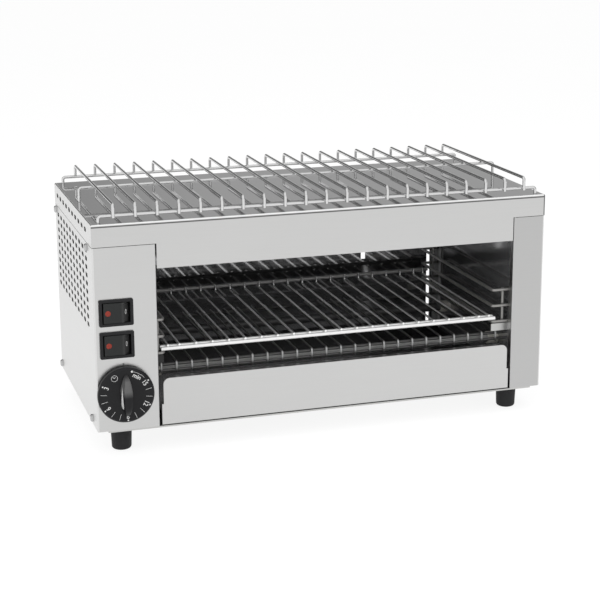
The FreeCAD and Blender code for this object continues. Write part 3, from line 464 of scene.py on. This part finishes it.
def round_hole(bm, centre, radius, facing, segments=24):
    made = bmesh.ops.create_circle(bm, cap_ends=False, radius=radius, segments=segments,
                                   matrix=Matrix.Translation(centre) @ FACING[facing])["verts"]
    return list({edge for vert in made for edge in vert.link_edges})


def slot(bm, centre, length=10.5, height=4.4):
    edges = round_hole(bm, centre, height / 2, "side", 14)
    for vert in {vert for edge in edges for vert in edge.verts}:
        vert.co.y += math.copysign((length - height) / 2, vert.co.y - centre[1])
    return edges


def fill(bm, edges, towards):
    made = bmesh.ops.triangle_fill(bm, use_beauty=True, use_dissolve=False, edges=edges, normal=towards)
    return [item for item in made["geom"] if isinstance(item, bmesh.types.BMFace)]


def border(bm, test):
    return [edge for edge in bm.edges if edge.is_boundary and all(test(vert.co) for vert in edge.verts)]


def sheet_piece(name, bm, materials, node, outside):
    """A folded sheet whose outer side points out: outside is the way in which its widest wall faces."""
    bmesh.ops.remove_doubles(bm, verts=bm.verts, dist=merge_distance)
    bmesh.ops.recalc_face_normals(bm, faces=bm.faces)
    walls = [face for face in bm.faces if abs(face.normal.dot(outside)) > 0.99]
    if sum(face.normal.dot(outside) * face.calc_area() for face in walls) < 0:
        bmesh.ops.reverse_faces(bm, faces=bm.faces)
    piece = finished(name, bm, materials, node, outward=False)
    sheet = piece.modifiers.new("sheet", "SOLIDIFY")
    sheet.thickness = sheet_thickness * MM
    sheet.offset = -1.0
    sheet.use_even_offset = True
    return keep_flats(piece)


# %% The two legs with their slotted sides
casing_width, casing_depth, leg_height = 450.0, 215.0, 175.4
fold, fold_steps, quarter_turn = 1.5, 6, math.radians(90)
rear_fold = casing_depth - fold
base_flange, lip_depth = 20.0, 5.5
vent_places = spread(32.0, 196.0, 10)
top_vent_row, vent_row_pitch = 167.4, 7.9
switch_heights = {"upper": 114.0, "lower": 83.2}
switch_left, switch_right, switch_half_height = 5.2, 35.8, 11.3
knob_x, knob_z, shaft_hole = 26.5, 36.0, 5.5
touching = 0.001


def leg(name, node, materials, front_width, rear_width, rows, mirrored, front_holes):
    bm = bmesh.new()
    edges = loop_of(bm, [(0, fold, 0), (0, rear_fold, 0), (0, rear_fold, leg_height), (0, fold, leg_height)])
    for row in range(rows):
        for y in vent_places:
            edges += slot(bm, (0, y, top_vent_row - vent_row_pitch * row))
    fill(bm, edges, (-1, 0, 0))
    front_edge = border(bm, lambda co: abs(co.y - fold) < touching)
    rear_edge = border(bm, lambda co: abs(co.y - rear_fold) < touching)
    low_edge = border(bm, lambda co: abs(co.z) < touching)
    swing(bm, front_edge, (fold, fold, 0), (0, 0, 1), quarter_turn, fold_steps)
    rear_edge = swing(bm, rear_edge, (fold, rear_fold, 0), (0, 0, -1), quarter_turn, fold_steps)
    push(bm, rear_edge, (rear_width - fold, 0, 0))
    push(bm, low_edge, (base_flange, 0, 0))
    inner_fold = front_width - fold
    edges = loop_of(bm, [(fold, 0, 0), (inner_fold, 0, 0), (inner_fold, 0, leg_height),
                         (fold, 0, leg_height)])
    for hole in front_holes:
        edges += hole(bm)
    for face in fill(bm, edges, (0, -1, 0)):
        face.material_index = 1
    inner_edge = border(bm, lambda co: abs(co.x - inner_fold) < touching and abs(co.y) < touching)
    lip = swing(bm, inner_edge, (inner_fold, fold, 0), (0, 0, 1), quarter_turn, fold_steps)
    push(bm, lip, (0, lip_depth, 0))
    if mirrored:
        bmesh.ops.scale(bm, vec=(-1, 1, 1), verts=bm.verts)
        bmesh.ops.translate(bm, vec=(casing_width, 0, 0), verts=bm.verts)
    return sheet_piece(name, bm, materials, node, Vector((1 if mirrored else -1, 0, 0)))


def switch_hole(height):
    low = switch_heights[height] - switch_half_height
    high = switch_heights[height] + switch_half_height
    corners = [(switch_left, 0, low), (switch_right, 0, low), (switch_right, 0, high), (switch_left, 0, high)]
    return lambda bm: loop_of(bm, corners)


leg("left_leg", "left_casing", [satin_side, satin_front], front_width=59.0, rear_width=50.0, rows=10,
    mirrored=False, front_holes=[switch_hole("upper"), switch_hole("lower"),
                                 lambda bm: round_hole(bm, (knob_x, 0, knob_z), shaft_hole, "front")])
# The right leg's front gets the darker satin, painted shade.
leg("right_leg", "right_casing", [satin_side, satin_right_painted_shade], front_width=32.5, rear_width=34.0, rows=4,
    mirrored=True, front_holes=[])

# %% [markdown]
# ## The cover
# The lid is a shallow box folded down all round, with the deep header between the legs. A cube without its
# floor is nearly that: its upper edges are beveled for the folds, the sides are filled again round their
# slots, and the front border between the legs is pushed down and in.

# %% The top cover with its header
cover_top, cover_bottom = 197.0, 175.9
cover_middle = (casing_width / 2, casing_depth / 2, (cover_top + cover_bottom) / 2)
cover_slots_height = 187.0
header_left, header_right, header_bottom, header_hem = 59.8, 416.7, 152.5, 9.0
side_area, plate_area = 1000, 5000
bm = bmesh.new()
bmesh.ops.create_cube(bm, size=1.0)
bmesh.ops.scale(bm, vec=(casing_width, casing_depth, cover_top - cover_bottom), verts=bm.verts)
bmesh.ops.translate(bm, vec=cover_middle, verts=bm.verts)
floor_face = [face for face in bm.faces if face.normal.z < -0.9]
bmesh.ops.delete(bm, geom=floor_face, context="FACES_ONLY")
upper = [edge for edge in bm.edges if all(vert.co.z > cover_top - touching for vert in edge.verts)]
bmesh.ops.bevel(bm, geom=upper, offset=fold, offset_type="OFFSET", segments=5, profile=0.5, affect="EDGES",
                material=-1)
for x, outside in ((0.0, -1), (casing_width, 1)):
    side = next(face for face in bm.faces if face.normal.x * outside > 0.99 and face.calc_area() > side_area)
    edges = list(side.edges)
    bmesh.ops.delete(bm, geom=[side], context="FACES_ONLY")
    for y in vent_places:
        edges += slot(bm, (x, y, cover_slots_height))
    fill(bm, edges, (outside, 0, 0))
for x in (header_left, header_right):
    front = [face for face in bm.faces if face.normal.y < -0.99]
    geom = front + list({edge for face in front for edge in face.edges})
    geom += list({vert for face in front for vert in face.verts})
    bmesh.ops.bisect_plane(bm, geom=geom, plane_co=(x, 0, 0), plane_no=(1, 0, 0))
hem = border(bm, lambda co: abs(co.z - cover_bottom) < touching and abs(co.y) < touching
             and header_left - 0.1 < co.x < header_right + 0.1)
hem = push(bm, hem, (0, 0, header_bottom - cover_bottom))
push(bm, hem, (0, header_hem, 0))
bmesh.ops.recalc_face_normals(bm, faces=bm.faces)
for face in bm.faces:
    if abs(face.normal.x) > 0.9:
        face.material_index = 1
    elif abs(face.normal.z) > 0.999 and face.calc_area() > plate_area:
        face.material_index = 2
    else:
        face.material_index = 0
sheet_piece("top_cover_sheet", bm, [satin_front, satin_side, mirror_plate], "top_cover", Vector((0, 0, 1)))

# %% [markdown]
# ## Turned parts
# Feet, tubes, ceramic caps, screw heads, lenses and the knob's skirt are all round, so one profile spun about
# an axis makes each of them. A lathe profile is easy to read: pairs of radius and height, from one end of the
# part to the other.

# %% A lathe
POINTING = {
    "front": Matrix.Rotation(math.radians(90), 4, "X"),
    "back": Matrix.Rotation(math.radians(-90), 4, "X"),
    "left": Matrix.Rotation(math.radians(-90), 4, "Y"),
    "right": Matrix.Rotation(math.radians(90), 4, "Y"),
    "down": Matrix.Rotation(math.radians(180), 4, "X"),
}


def turned(bm, profile, centre, pointing, steps):
    verts = [bm.verts.new((radius, 0, height)) for radius, height in profile]
    edges = [bm.edges.new(pair) for pair in zip(verts, verts[1:])]
    before = set(bm.verts) - set(verts)
    bmesh.ops.spin(bm, geom=verts + edges, cent=(0, 0, 0), axis=(0, 0, 1), angle=2 * math.pi, steps=steps,
                   use_merge=True)
    made = [vert for vert in bm.verts if vert not in before]
    bmesh.ops.remove_doubles(bm, verts=made, dist=merge_distance)
    made = [vert for vert in bm.verts if vert not in before]
    bmesh.ops.transform(bm, matrix=Matrix.Translation(centre) @ POINTING[pointing], verts=made)


def rounded(radius, height, turn_radius, steps=5):
    """Profile points of a rounded outer edge whose corner would be at the given radius and height."""
    return [(radius - turn_radius + turn_radius * math.cos(math.pi / 2 * step / steps),
             height - turn_radius + turn_radius * math.sin(math.pi / 2 * step / steps))
            for step in range(steps + 1)]


# %% The rubber feet
foot_height, sole_radius, sole_edge, seat_radius = 24.0, 9.4, 2.6, 10.2
screw_bore, recess_radius, recess_floor = 2.15, 5.0, 17.0
base_underside = -1.5
foot_profile = [(screw_bore, 0), (seat_radius, 0)] + rounded(sole_radius, foot_height, sole_edge)
foot_profile += [(recess_radius, foot_height), (recess_radius, recess_floor), (screw_bore, recess_floor),
                 (screw_bore, 0)]
bm = bmesh.new()
for x in (26.0, 424.0):
    for y in (23.0, 192.0):
        turned(bm, foot_profile, (x, y, base_underside), "down", 40)
finished("rubber_feet", bm, foot_rubber, "feet")

# %% The pan head screws
head_radius, head_height, head_edge = 3.6, 2.4, 1.6
shank_radius, shank_length = 2.0, 5.0
screw_profile = [(0, -shank_length), (shank_radius, -shank_length), (shank_radius, 0), (head_radius, 0)]
screw_profile += rounded(head_radius, head_height, head_edge, 4) + [(0, head_height)]
side_places = [((x, y, z), way) for x, way in ((0, "left"), (casing_width, "right"))
               for y in (27, 208) for z in (5.5, 170.8)]
rear_places = [((x, casing_depth, z), "back") for x, z in ((44, 23), (44, 153.7), (422, 153.7))]
for node, places in (("side_screws", side_places), ("rear_screws", rear_places)):
    bm = bmesh.new()
    for place, way in places:
        turned(bm, screw_profile, place, way, 24)
    finished(node + "_turned", bm, screw_metal, node)

# %% The quartz tubes with their ceramic caps
tube_places = {
    "lower_front": (38.0, 43.5), "lower_rear": (163.0, 43.5),
    "upper_front": (38.0, 166.0), "upper_rear": (163.0, 166.0),
}
tube_start, tube_length, tube_radius, tube_bore = 69.0, 338.5, 4.5, 3.5
cap_length, cap_radius, cap_chamfer, cap_edge = 16.0, 6.2, 0.4, 0.8
tube_profile = [(tube_bore, 0), (tube_radius, 0), (tube_radius, tube_length), (tube_bore, tube_length),
                (tube_bore, 0)]
cap_profile = [(0, 0), (cap_radius - cap_chamfer, 0), (cap_radius, cap_chamfer)]
cap_profile += rounded(cap_radius, cap_length, cap_edge, 3) + [(0, cap_length)]
for name, (y, z) in tube_places.items():
    bm = bmesh.new()
    turned(bm, tube_profile, (tube_start, y, z), "right", 24)
    finished(name + "_quartz", bm, quartz, name + "_tube")
for height in ("lower", "upper"):
    bm = bmesh.new()
    for name, (y, z) in tube_places.items():
        if name.startswith(height):
            for x, way in ((53.0, "right"), (423.5, "left")):
                turned(bm, cap_profile, (x, y, z), way, 28)
    finished(height + "_ceramic_caps", bm, white_ceramic, height + "_tube_caps")

# %% [markdown]
# ## The wound heaters
# Inside each tube lies a spring of resistance wire. A spin that also travels along its axis is a screw, so
# one small ring of edges, spun many turns with a step forward each time, makes the whole winding.

# %% Wind the heaters
turns, steps_per_turn = 85, 10
coil_start, coil_length, coil_radius, strand_radius = 69.3, 338.0, 1.7, 0.45
for height in ("lower", "upper"):
    bm = bmesh.new()
    for name, (y, z) in tube_places.items():
        if name.startswith(height):
            first_turn = Matrix.Translation((coil_start, y + coil_radius, z))
            ring = bmesh.ops.create_circle(bm, cap_ends=False, radius=strand_radius, segments=5,
                                           matrix=first_turn)["verts"]
            edges = list({edge for vert in ring for edge in vert.link_edges})
            bmesh.ops.spin(bm, geom=list(ring) + edges, cent=(coil_start, y, z), axis=(1, 0, 0),
                           dvec=(coil_length / (turns * steps_per_turn), 0, 0), angle=2 * math.pi * turns,
                           steps=turns * steps_per_turn)
    finished(height + "_windings", bm, heater_wire, height + "_heating_coils")

# %% [markdown]
# ## The timer knob
# The knob is a low skirt with an arched grip. The skirt is turned. The grip starts as a grid, since a grid's
# rows can be lifted into the arch and narrowed towards its ends, and its border is then pushed back into the
# skirt. Along the grip, places run from -1 at its foot to 1 at its head.

# %% The skirt and grip
dial_gap, skirt_height = 1.9, 6.0
dial_face = -dial_gap - skirt_height
grip_half_length, grip_rise, grip_flare, grip_sink = 20.0, 11.5, 2.1, 0.5
crown_drop = 0.9
skirt_profile = [(3.0, 0), (26.0, 0), (26.6, 0.6), (26.6, 4.3), (26.3, 4.8), (25.2, 5.7),
                 (24.7, skirt_height), (0, skirt_height)]


def grip_half_width(along):
    """Half the width of the grip's ridge: 1 mm at its ends and 3.9 mm in the middle."""
    return 1.0 + 2.9 * math.cos(math.pi * along / 2) ** 0.75


def flare(along):
    """How far the foot of the grip's flank stands out beyond its ridge."""
    return grip_flare * math.cos(math.pi * along / 2)


def crest(along):
    """Height of the grip's ridge over the dial face."""
    return grip_rise * (1 - abs(along) ** 2.6) ** 0.62


bm = bmesh.new()
turned(bm, skirt_profile, (knob_x, -dial_gap, knob_z), "front", 96)
skirt = set(bm.faces)
made = bmesh.ops.create_grid(bm, x_segments=6, y_segments=24, size=1.0)["verts"]
for vert in made:
    across, along = vert.co.x, vert.co.y
    height = max(crest(along) - crown_drop * across * across * crest(along) / grip_rise, 0.0)
    vert.co = (knob_x + across * grip_half_width(along), dial_face - height,
               knob_z + along * grip_half_length)
rim = list({edge for vert in made for edge in vert.link_edges if edge.is_boundary})
skirt_edges = push(bm, rim, (0, 0.01, 0))
foot = {vert for edge in skirt_edges for vert in edge.verts}
for vert in foot:
    along = (vert.co.z - knob_z) / grip_half_length
    side = (vert.co.x - knob_x) / grip_half_width(along)
    vert.co.x = knob_x + side * (grip_half_width(along) + flare(along))
    vert.co.y = dial_face + grip_sink
for face in set(bm.faces) - skirt:
    face.material_index = 1
keep_flats(finished("timer_knob_moulded", bm, [knob_plastic, grip_painted_highlight], "timer_knob", smooth=40.0))

# %% The painted highlight on the grip's left flank
# A white teardrop on the grip's left flank, a painted highlight where the flank catches the light from the
# left.
highlight_middle, highlight_reach, highlight_half_height = -0.06, 0.57, 0.19
highlight_tip, highlight_lift = 0.24, 0.1
bm = bmesh.new()
for vert in bmesh.ops.create_grid(bm, x_segments=2, y_segments=30, size=1.0)["verts"]:
    across, way = vert.co.x, vert.co.y
    along = highlight_middle + highlight_reach * way
    half = highlight_half_height * (1 - way) * min(1.0, (1 + way) / highlight_tip) ** 0.5
    depth = 0.5 + 0.8 * along ** 2 + half * across
    top_y = dial_face - crest(along) + crown_drop * crest(along) / grip_rise
    vert.co = (knob_x - grip_half_width(along) - flare(along) * depth - highlight_lift,
               top_y + (dial_face - top_y) * depth, knob_z + along * grip_half_length)
finished("timer_grip_painted_flank_highlight", bm, white_print_and_painted_highlight, "timer_knob", replace=False)

# %% [markdown]
# ## Printed marks
# The dial's scale is printed on the skirt and turns with it. Text starts as a font curve, which is turned
# into a mesh first and put in place after that. Strokes and dots are flat shapes a few hundredths of a
# millimetre proud. Angles run anticlockwise from the top of the dial.

# %% Numbers, ticks and dots
print_lift = 0.04
narrow = Matrix.Scale(0.85, 4, (1, 0, 0))


def on_dial(radius, angle):
    return (knob_x - radius * math.sin(angle), dial_face - print_lift, knob_z + radius * math.cos(angle))


def add_text(bm, words, size, middle, matrix, weight):
    curve = bpy.data.curves.new("words", "FONT")
    curve.body = words
    curve.size = size
    curve.offset = weight
    curve.align_x = "CENTER"
    curve.align_y = "CENTER"
    holder = bpy.data.objects.new("words", curve)
    bpy.context.scene.collection.objects.link(holder)
    bpy.context.view_layer.update()
    mesh = bpy.data.meshes.new_from_object(holder.evaluated_get(bpy.context.evaluated_depsgraph_get()))
    bpy.data.objects.remove(holder)
    before = set(bm.verts)
    bm.from_mesh(mesh)
    new = [vert for vert in bm.verts if vert not in before]
    bmesh.ops.transform(bm, matrix=Matrix.Translation(middle) @ matrix, verts=new)
    bpy.data.meshes.remove(mesh)


def add_stroke(bm, middle, length, width, matrix):
    made = bmesh.ops.create_grid(bm, x_segments=1, y_segments=1, size=0.5)["verts"]
    bmesh.ops.scale(bm, vec=(width, length, 1), verts=made)
    bmesh.ops.transform(bm, matrix=Matrix.Translation(middle) @ matrix, verts=made)


def add_dot(bm, middle, radius, matrix):
    made = bmesh.ops.create_circle(bm, cap_ends=True, cap_tris=False, radius=radius, segments=14)
    bmesh.ops.transform(bm, matrix=Matrix.Translation(middle) @ matrix, verts=made["verts"])


def facing_out(angle):
    return Matrix.Rotation(-angle, 4, "Y") @ Matrix.Rotation(math.radians(90), 4, "X")


marks = [(65, "3"), (123, "6"), (182, "9"), (243, "12"), (302, "15")]
number_circle, number_size, number_weight = 20.3, 6.4, 0.07
dot_circle, dot_radius = 24.3, 0.75
tick_circle, tick_length, tick_width = 21.4, 6.0, 0.3
arc_circle, arc_line, arc_width, arc_steps = 23.3, 0.3, 1.15, 12
start_angle, arc_step, start_radius = math.radians(-14), math.radians(2.7), 1.05
word_circle, word_angle, word_size, word_weight = 20.0, math.radians(-30), 5.6, 0.1
clock_circle, clock_angle, clock_radius, clock_strokes = 20.6, math.radians(32), 2.9, 16
clock_line, clock_line_width, hand_width = 0.34, 1.2, 0.36

bm = bmesh.new()
for degrees, words in marks:
    angle = math.radians(degrees)
    add_text(bm, words, number_size, on_dial(number_circle, angle), facing_out(angle) @ narrow, number_weight)
    add_dot(bm, on_dial(dot_circle, angle), dot_radius, facing_out(angle))
for (first, _), (second, _) in zip(marks, marks[1:]):
    for part in (1, 2):
        angle = math.radians(first + (second - first) * part / 3)
        add_stroke(bm, on_dial(tick_circle, angle), tick_length, tick_width, facing_out(angle))
add_dot(bm, on_dial(arc_circle, start_angle), start_radius, facing_out(start_angle))
for step in range(arc_steps):
    angle = start_angle - arc_step * (step + 0.5)
    add_stroke(bm, on_dial(arc_circle, angle), arc_line, arc_width, facing_out(angle))
add_text(bm, "min", word_size, on_dial(word_circle, word_angle), facing_out(word_angle), word_weight)
clock_x, clock_y, clock_z = on_dial(clock_circle, clock_angle)
for step in range(clock_strokes):
    angle = 2 * math.pi * step / clock_strokes
    spot = (clock_x - clock_radius * math.sin(angle), clock_y, clock_z + clock_radius * math.cos(angle))
    add_stroke(bm, spot, clock_line, clock_line_width, facing_out(angle))
for right_by, up_by, length, degrees in ((-0.8, 0.8, 2.2, 45), (0.55, 0.85, 2.0, -32)):
    spot = (clock_x + right_by, clock_y, clock_z + up_by)
    add_stroke(bm, spot, length, hand_width, facing_out(math.radians(degrees)))
finished("dial_scale_print", bm, white_print_and_painted_highlight, "timer_knob", replace=False, outward=False)

# %% The mark on the casing where the scale starts
bm = bmesh.new()
add_stroke(bm, (25.9, -0.05, 64.0), 2.0, 1.7, facing_out(0))
finished("dial_start_mark", bm, print_dark, "left_casing", replace=False, outward=False)

# %% [markdown]
# ## The switches
# The solids of the switches already have the right planes: frame, well, paddle. Moulded edges are never knife
# sharp, so each is copied, its loose triangles are merged, and a small bevel runs along its edges.

# %% Soften the moulded solids
def softened(name, node, material, width, chosen):
    bm = bmesh.new()
    bm.from_mesh(nodes[node].data)
    bmesh.ops.translate(bm, vec=-corner, verts=bm.verts)
    bmesh.ops.scale(bm, vec=(1 / MM, 1 / MM, 1 / MM), verts=bm.verts)
    bmesh.ops.remove_doubles(bm, verts=bm.verts, dist=0.001)
    bmesh.ops.dissolve_limit(bm, angle_limit=math.radians(1), verts=bm.verts, edges=bm.edges)
    sharp = [edge for edge in bm.edges
             if edge.is_manifold and edge.calc_face_angle() > math.radians(20) and chosen(edge)]
    bmesh.ops.bevel(bm, geom=sharp, offset=width, offset_type="OFFSET", segments=3, profile=0.5,
                    affect="EDGES", material=-1, clamp_overlap=True)
    return keep_flats(finished(name, bm, material, node, smooth=40.0))


# %% The frames, paddles, lenses and off marks
bezel_back, paddle_back, paddle_half_height = -1.9, 5, 9.6
lens_x, lens_y, lens_hole = 12.6, -2.7, 2.83
off_mark_x, off_mark_y = 29.5, -0.1
lens_profile = [(0, -1.0), (2.55, -1.0), (2.6, 0.0), (2.3, 0.28), (1.6, 0.44), (0.8, 0.5), (0, 0.5)]
slant = Matrix.Rotation(math.radians(45), 4, "Z") @ Matrix.Rotation(math.radians(90), 4, "X")


def on_bezel(edge):
    return all(vert.co.y < bezel_back for vert in edge.verts)


def on_paddle(edge, z):
    """Whether an edge bounds the paddle's front, apart from the hole for its lens."""
    front = all(vert.co.y < paddle_back and abs(vert.co.z - z) < paddle_half_height for vert in edge.verts)
    return front and not all(math.hypot(vert.co.x - lens_x, vert.co.z - z) < lens_hole for vert in edge.verts)


for height, z in switch_heights.items():
    softened(height + "_switch_frame", height + "_rocker_housing", black_plastic, 0.5, on_bezel)
    softened(height + "_switch_paddle", height + "_rocker", rocker_plastic, 0.35,
             lambda edge: on_paddle(edge, z))
    bm = bmesh.new()
    turned(bm, lens_profile, (lens_x, lens_y, z), "front", 28)
    finished(height + "_switch_lens", bm, red_lens, height + "_rocker_lens")
    bm = bmesh.new()
    add_text(bm, "0", 6.6, (off_mark_x + print_lift, off_mark_y - print_lift, z), slant @ narrow, 0.04)
    finished(height + "_switch_off_print", bm, white_print_and_painted_highlight, height + "_rocker", replace=False, outward=False)

# %% [markdown]
# ## Everything else keeps its solid
# The liner, guard brackets, tray, gland and timer body are plain sheet and moulded parts whose solids are
# already right, so they only need their finish. The rear panel has one finish inside and another outside: the
# inside is darker and more polished, and carries a band of painted shade.

# %% Give the remaining solids their finishes
for names, material in (
        (("rear_panel",), rear_mirror),
        (("left_cavity_wall", "right_cavity_wall", "cavity_ceiling"), dark_liner),
        (("crumb_tray_front",), satin_front),
        (("crumb_tray_pan",), tray_steel),
        (("base_pan", "cover_tabs", "base_brackets"), dull_zinc),
        (("guard_brackets",), bracket_zinc_painted_shade),
        (("tube_terminals", "timer_shaft", "foot_screws", "timer_screws"), screw_metal),
        (("cable_gland", "gland_locknut"), black_plastic),
        (("timer_body",), timer_case),
        (("terminal_block",), white_ceramic)):
    for name in names:
        nodes[name].data.materials.clear()
        nodes[name].data.materials.append(material)
        print(name, "finished with", material.name)
panel = nodes["rear_panel"].data
panel.materials.append(rear_outside)
for face in panel.polygons:
    face.material_index = 0 if face.normal.y < -0.9 else 1

# %% [markdown]
# ## A plain studio
# Steel shows its surroundings more than itself, so the light is mostly a bright room. The camera sees it
# white. Reflections and glass see a darker wall behind and above the machine, which the top plate mirrors,
# and a darker side on the right. Three large soft lamps, on the left, in front and above, light only what
# scatters light, so no mirror shows them as glare. The floor is pale and keeps a faint shadow.

# %% The room
wall_darkness, left_darkness, right_darkness = 0.55, 0.35, 0.6
world = bpy.data.worlds.new("studio")
bpy.context.scene.world = world
world.use_nodes = True
room = Finish("studio", world.node_tree)
for node in list(world.node_tree.nodes):
    world.node_tree.nodes.remove(node)
way = room.node("ShaderNodeTexCoord", output="Generated")
x, y, z = (room.node("ShaderNodeSeparateXYZ", {}, {0: way}, output=axis) for axis in ("X", "Y", "Z"))
above = room.ramp(z, (0.0, 0.0), (0.12, 1.0))
behind = room.ramp(y, (0.2, 0.0), (0.75, 1.0))
left = room.ramp(x * 0.5 + 0.5, (0.46, 1.0), (0.62, 0.0))
right_side = room.ramp(x, (0.6, 0.0), (0.9, 1.0))
wall = (1.0 - above * behind * (wall_darkness + left_darkness * left)) * (1.0 - right_darkness * right_side)
print("room built")

# %% What each kind of ray sees
scattered_level = 0.75
seen, glossy, through = (room.node("ShaderNodeLightPath", output=kind)
                         for kind in ("Is Camera Ray", "Is Glossy Ray", "Is Transmission Ray"))
level = seen + (1.0 - seen) * ((glossy + through) * wall + (1.0 - glossy - through) * scattered_level)
sky = room.node("ShaderNodeBackground", {}, {"Color": (1.0, 1.0, 1.0, 1.0), "Strength": level})
end = world.node_tree.nodes.new("ShaderNodeOutputWorld")
world.node_tree.links.new(sky.socket, end.inputs["Surface"])

# %% The floor
floor_size, floor_glow, glow_share = 6.0, 1.06, 0.8
pale_floor = Finish("pale_floor")
pale_floor.set(Base_Color=pale_floor.shade(pale_floor.noise(3.0), (0.86, 0.86, 0.86), (0.9, 0.9, 0.9)),
               Roughness=0.9)
glow = pale_floor.node("ShaderNodeEmission", {}, {"Color": (1.0, 1.0, 1.0, 1.0), "Strength": floor_glow})
seen, glossy, through = (pale_floor.node("ShaderNodeLightPath", output=kind)
                         for kind in ("Is Camera Ray", "Is Glossy Ray", "Is Transmission Ray"))
plain = Amount(pale_floor, pale_floor.shader.outputs[0])
share = glow_share * (seen + glossy + through)
both = pale_floor.node("ShaderNodeMixShader", {}, {0: share, 1: plain, 2: glow})
tree = pale_floor.material.node_tree
tree.links.new(both.socket, tree.nodes["Material Output"].inputs["Surface"])
bm = bmesh.new()
bmesh.ops.create_grid(bm, x_segments=1, y_segments=1, size=floor_size)
mesh = bpy.data.meshes.new("floor")
bm.to_mesh(mesh)
bm.free()
mesh.materials.append(pale_floor.material)
floor = bpy.data.objects.new("floor", mesh)
bpy.context.scene.collection.objects.link(floor)
print("floor laid")

# %% The lamps
aim = Vector((0, 0, 0.1))
for name, place, size, power in (("left_softbox", (-1.6, -0.9, 1.3), 1.8, 14.0),
                                 ("front_softbox", (0.2, -2.2, 1.7), 2.0, 16.0),
                                 ("top_softbox", (0.1, -0.2, 1.7), 1.6, 9.0)):
    lamp_data = bpy.data.lights.new(name, "AREA")
    lamp_data.shape = "SQUARE"
    lamp_data.size = size
    lamp_data.energy = power
    lamp = bpy.data.objects.new(name, lamp_data)
    bpy.context.scene.collection.objects.link(lamp)
    lamp.location = place
    lamp.rotation_euler = (aim - Vector(place)).to_track_quat("-Z", "Y").to_euler()
    lamp.visible_glossy = False
    print(name, power, "W")
bpy.context.scene.view_settings.view_transform = "Standard"
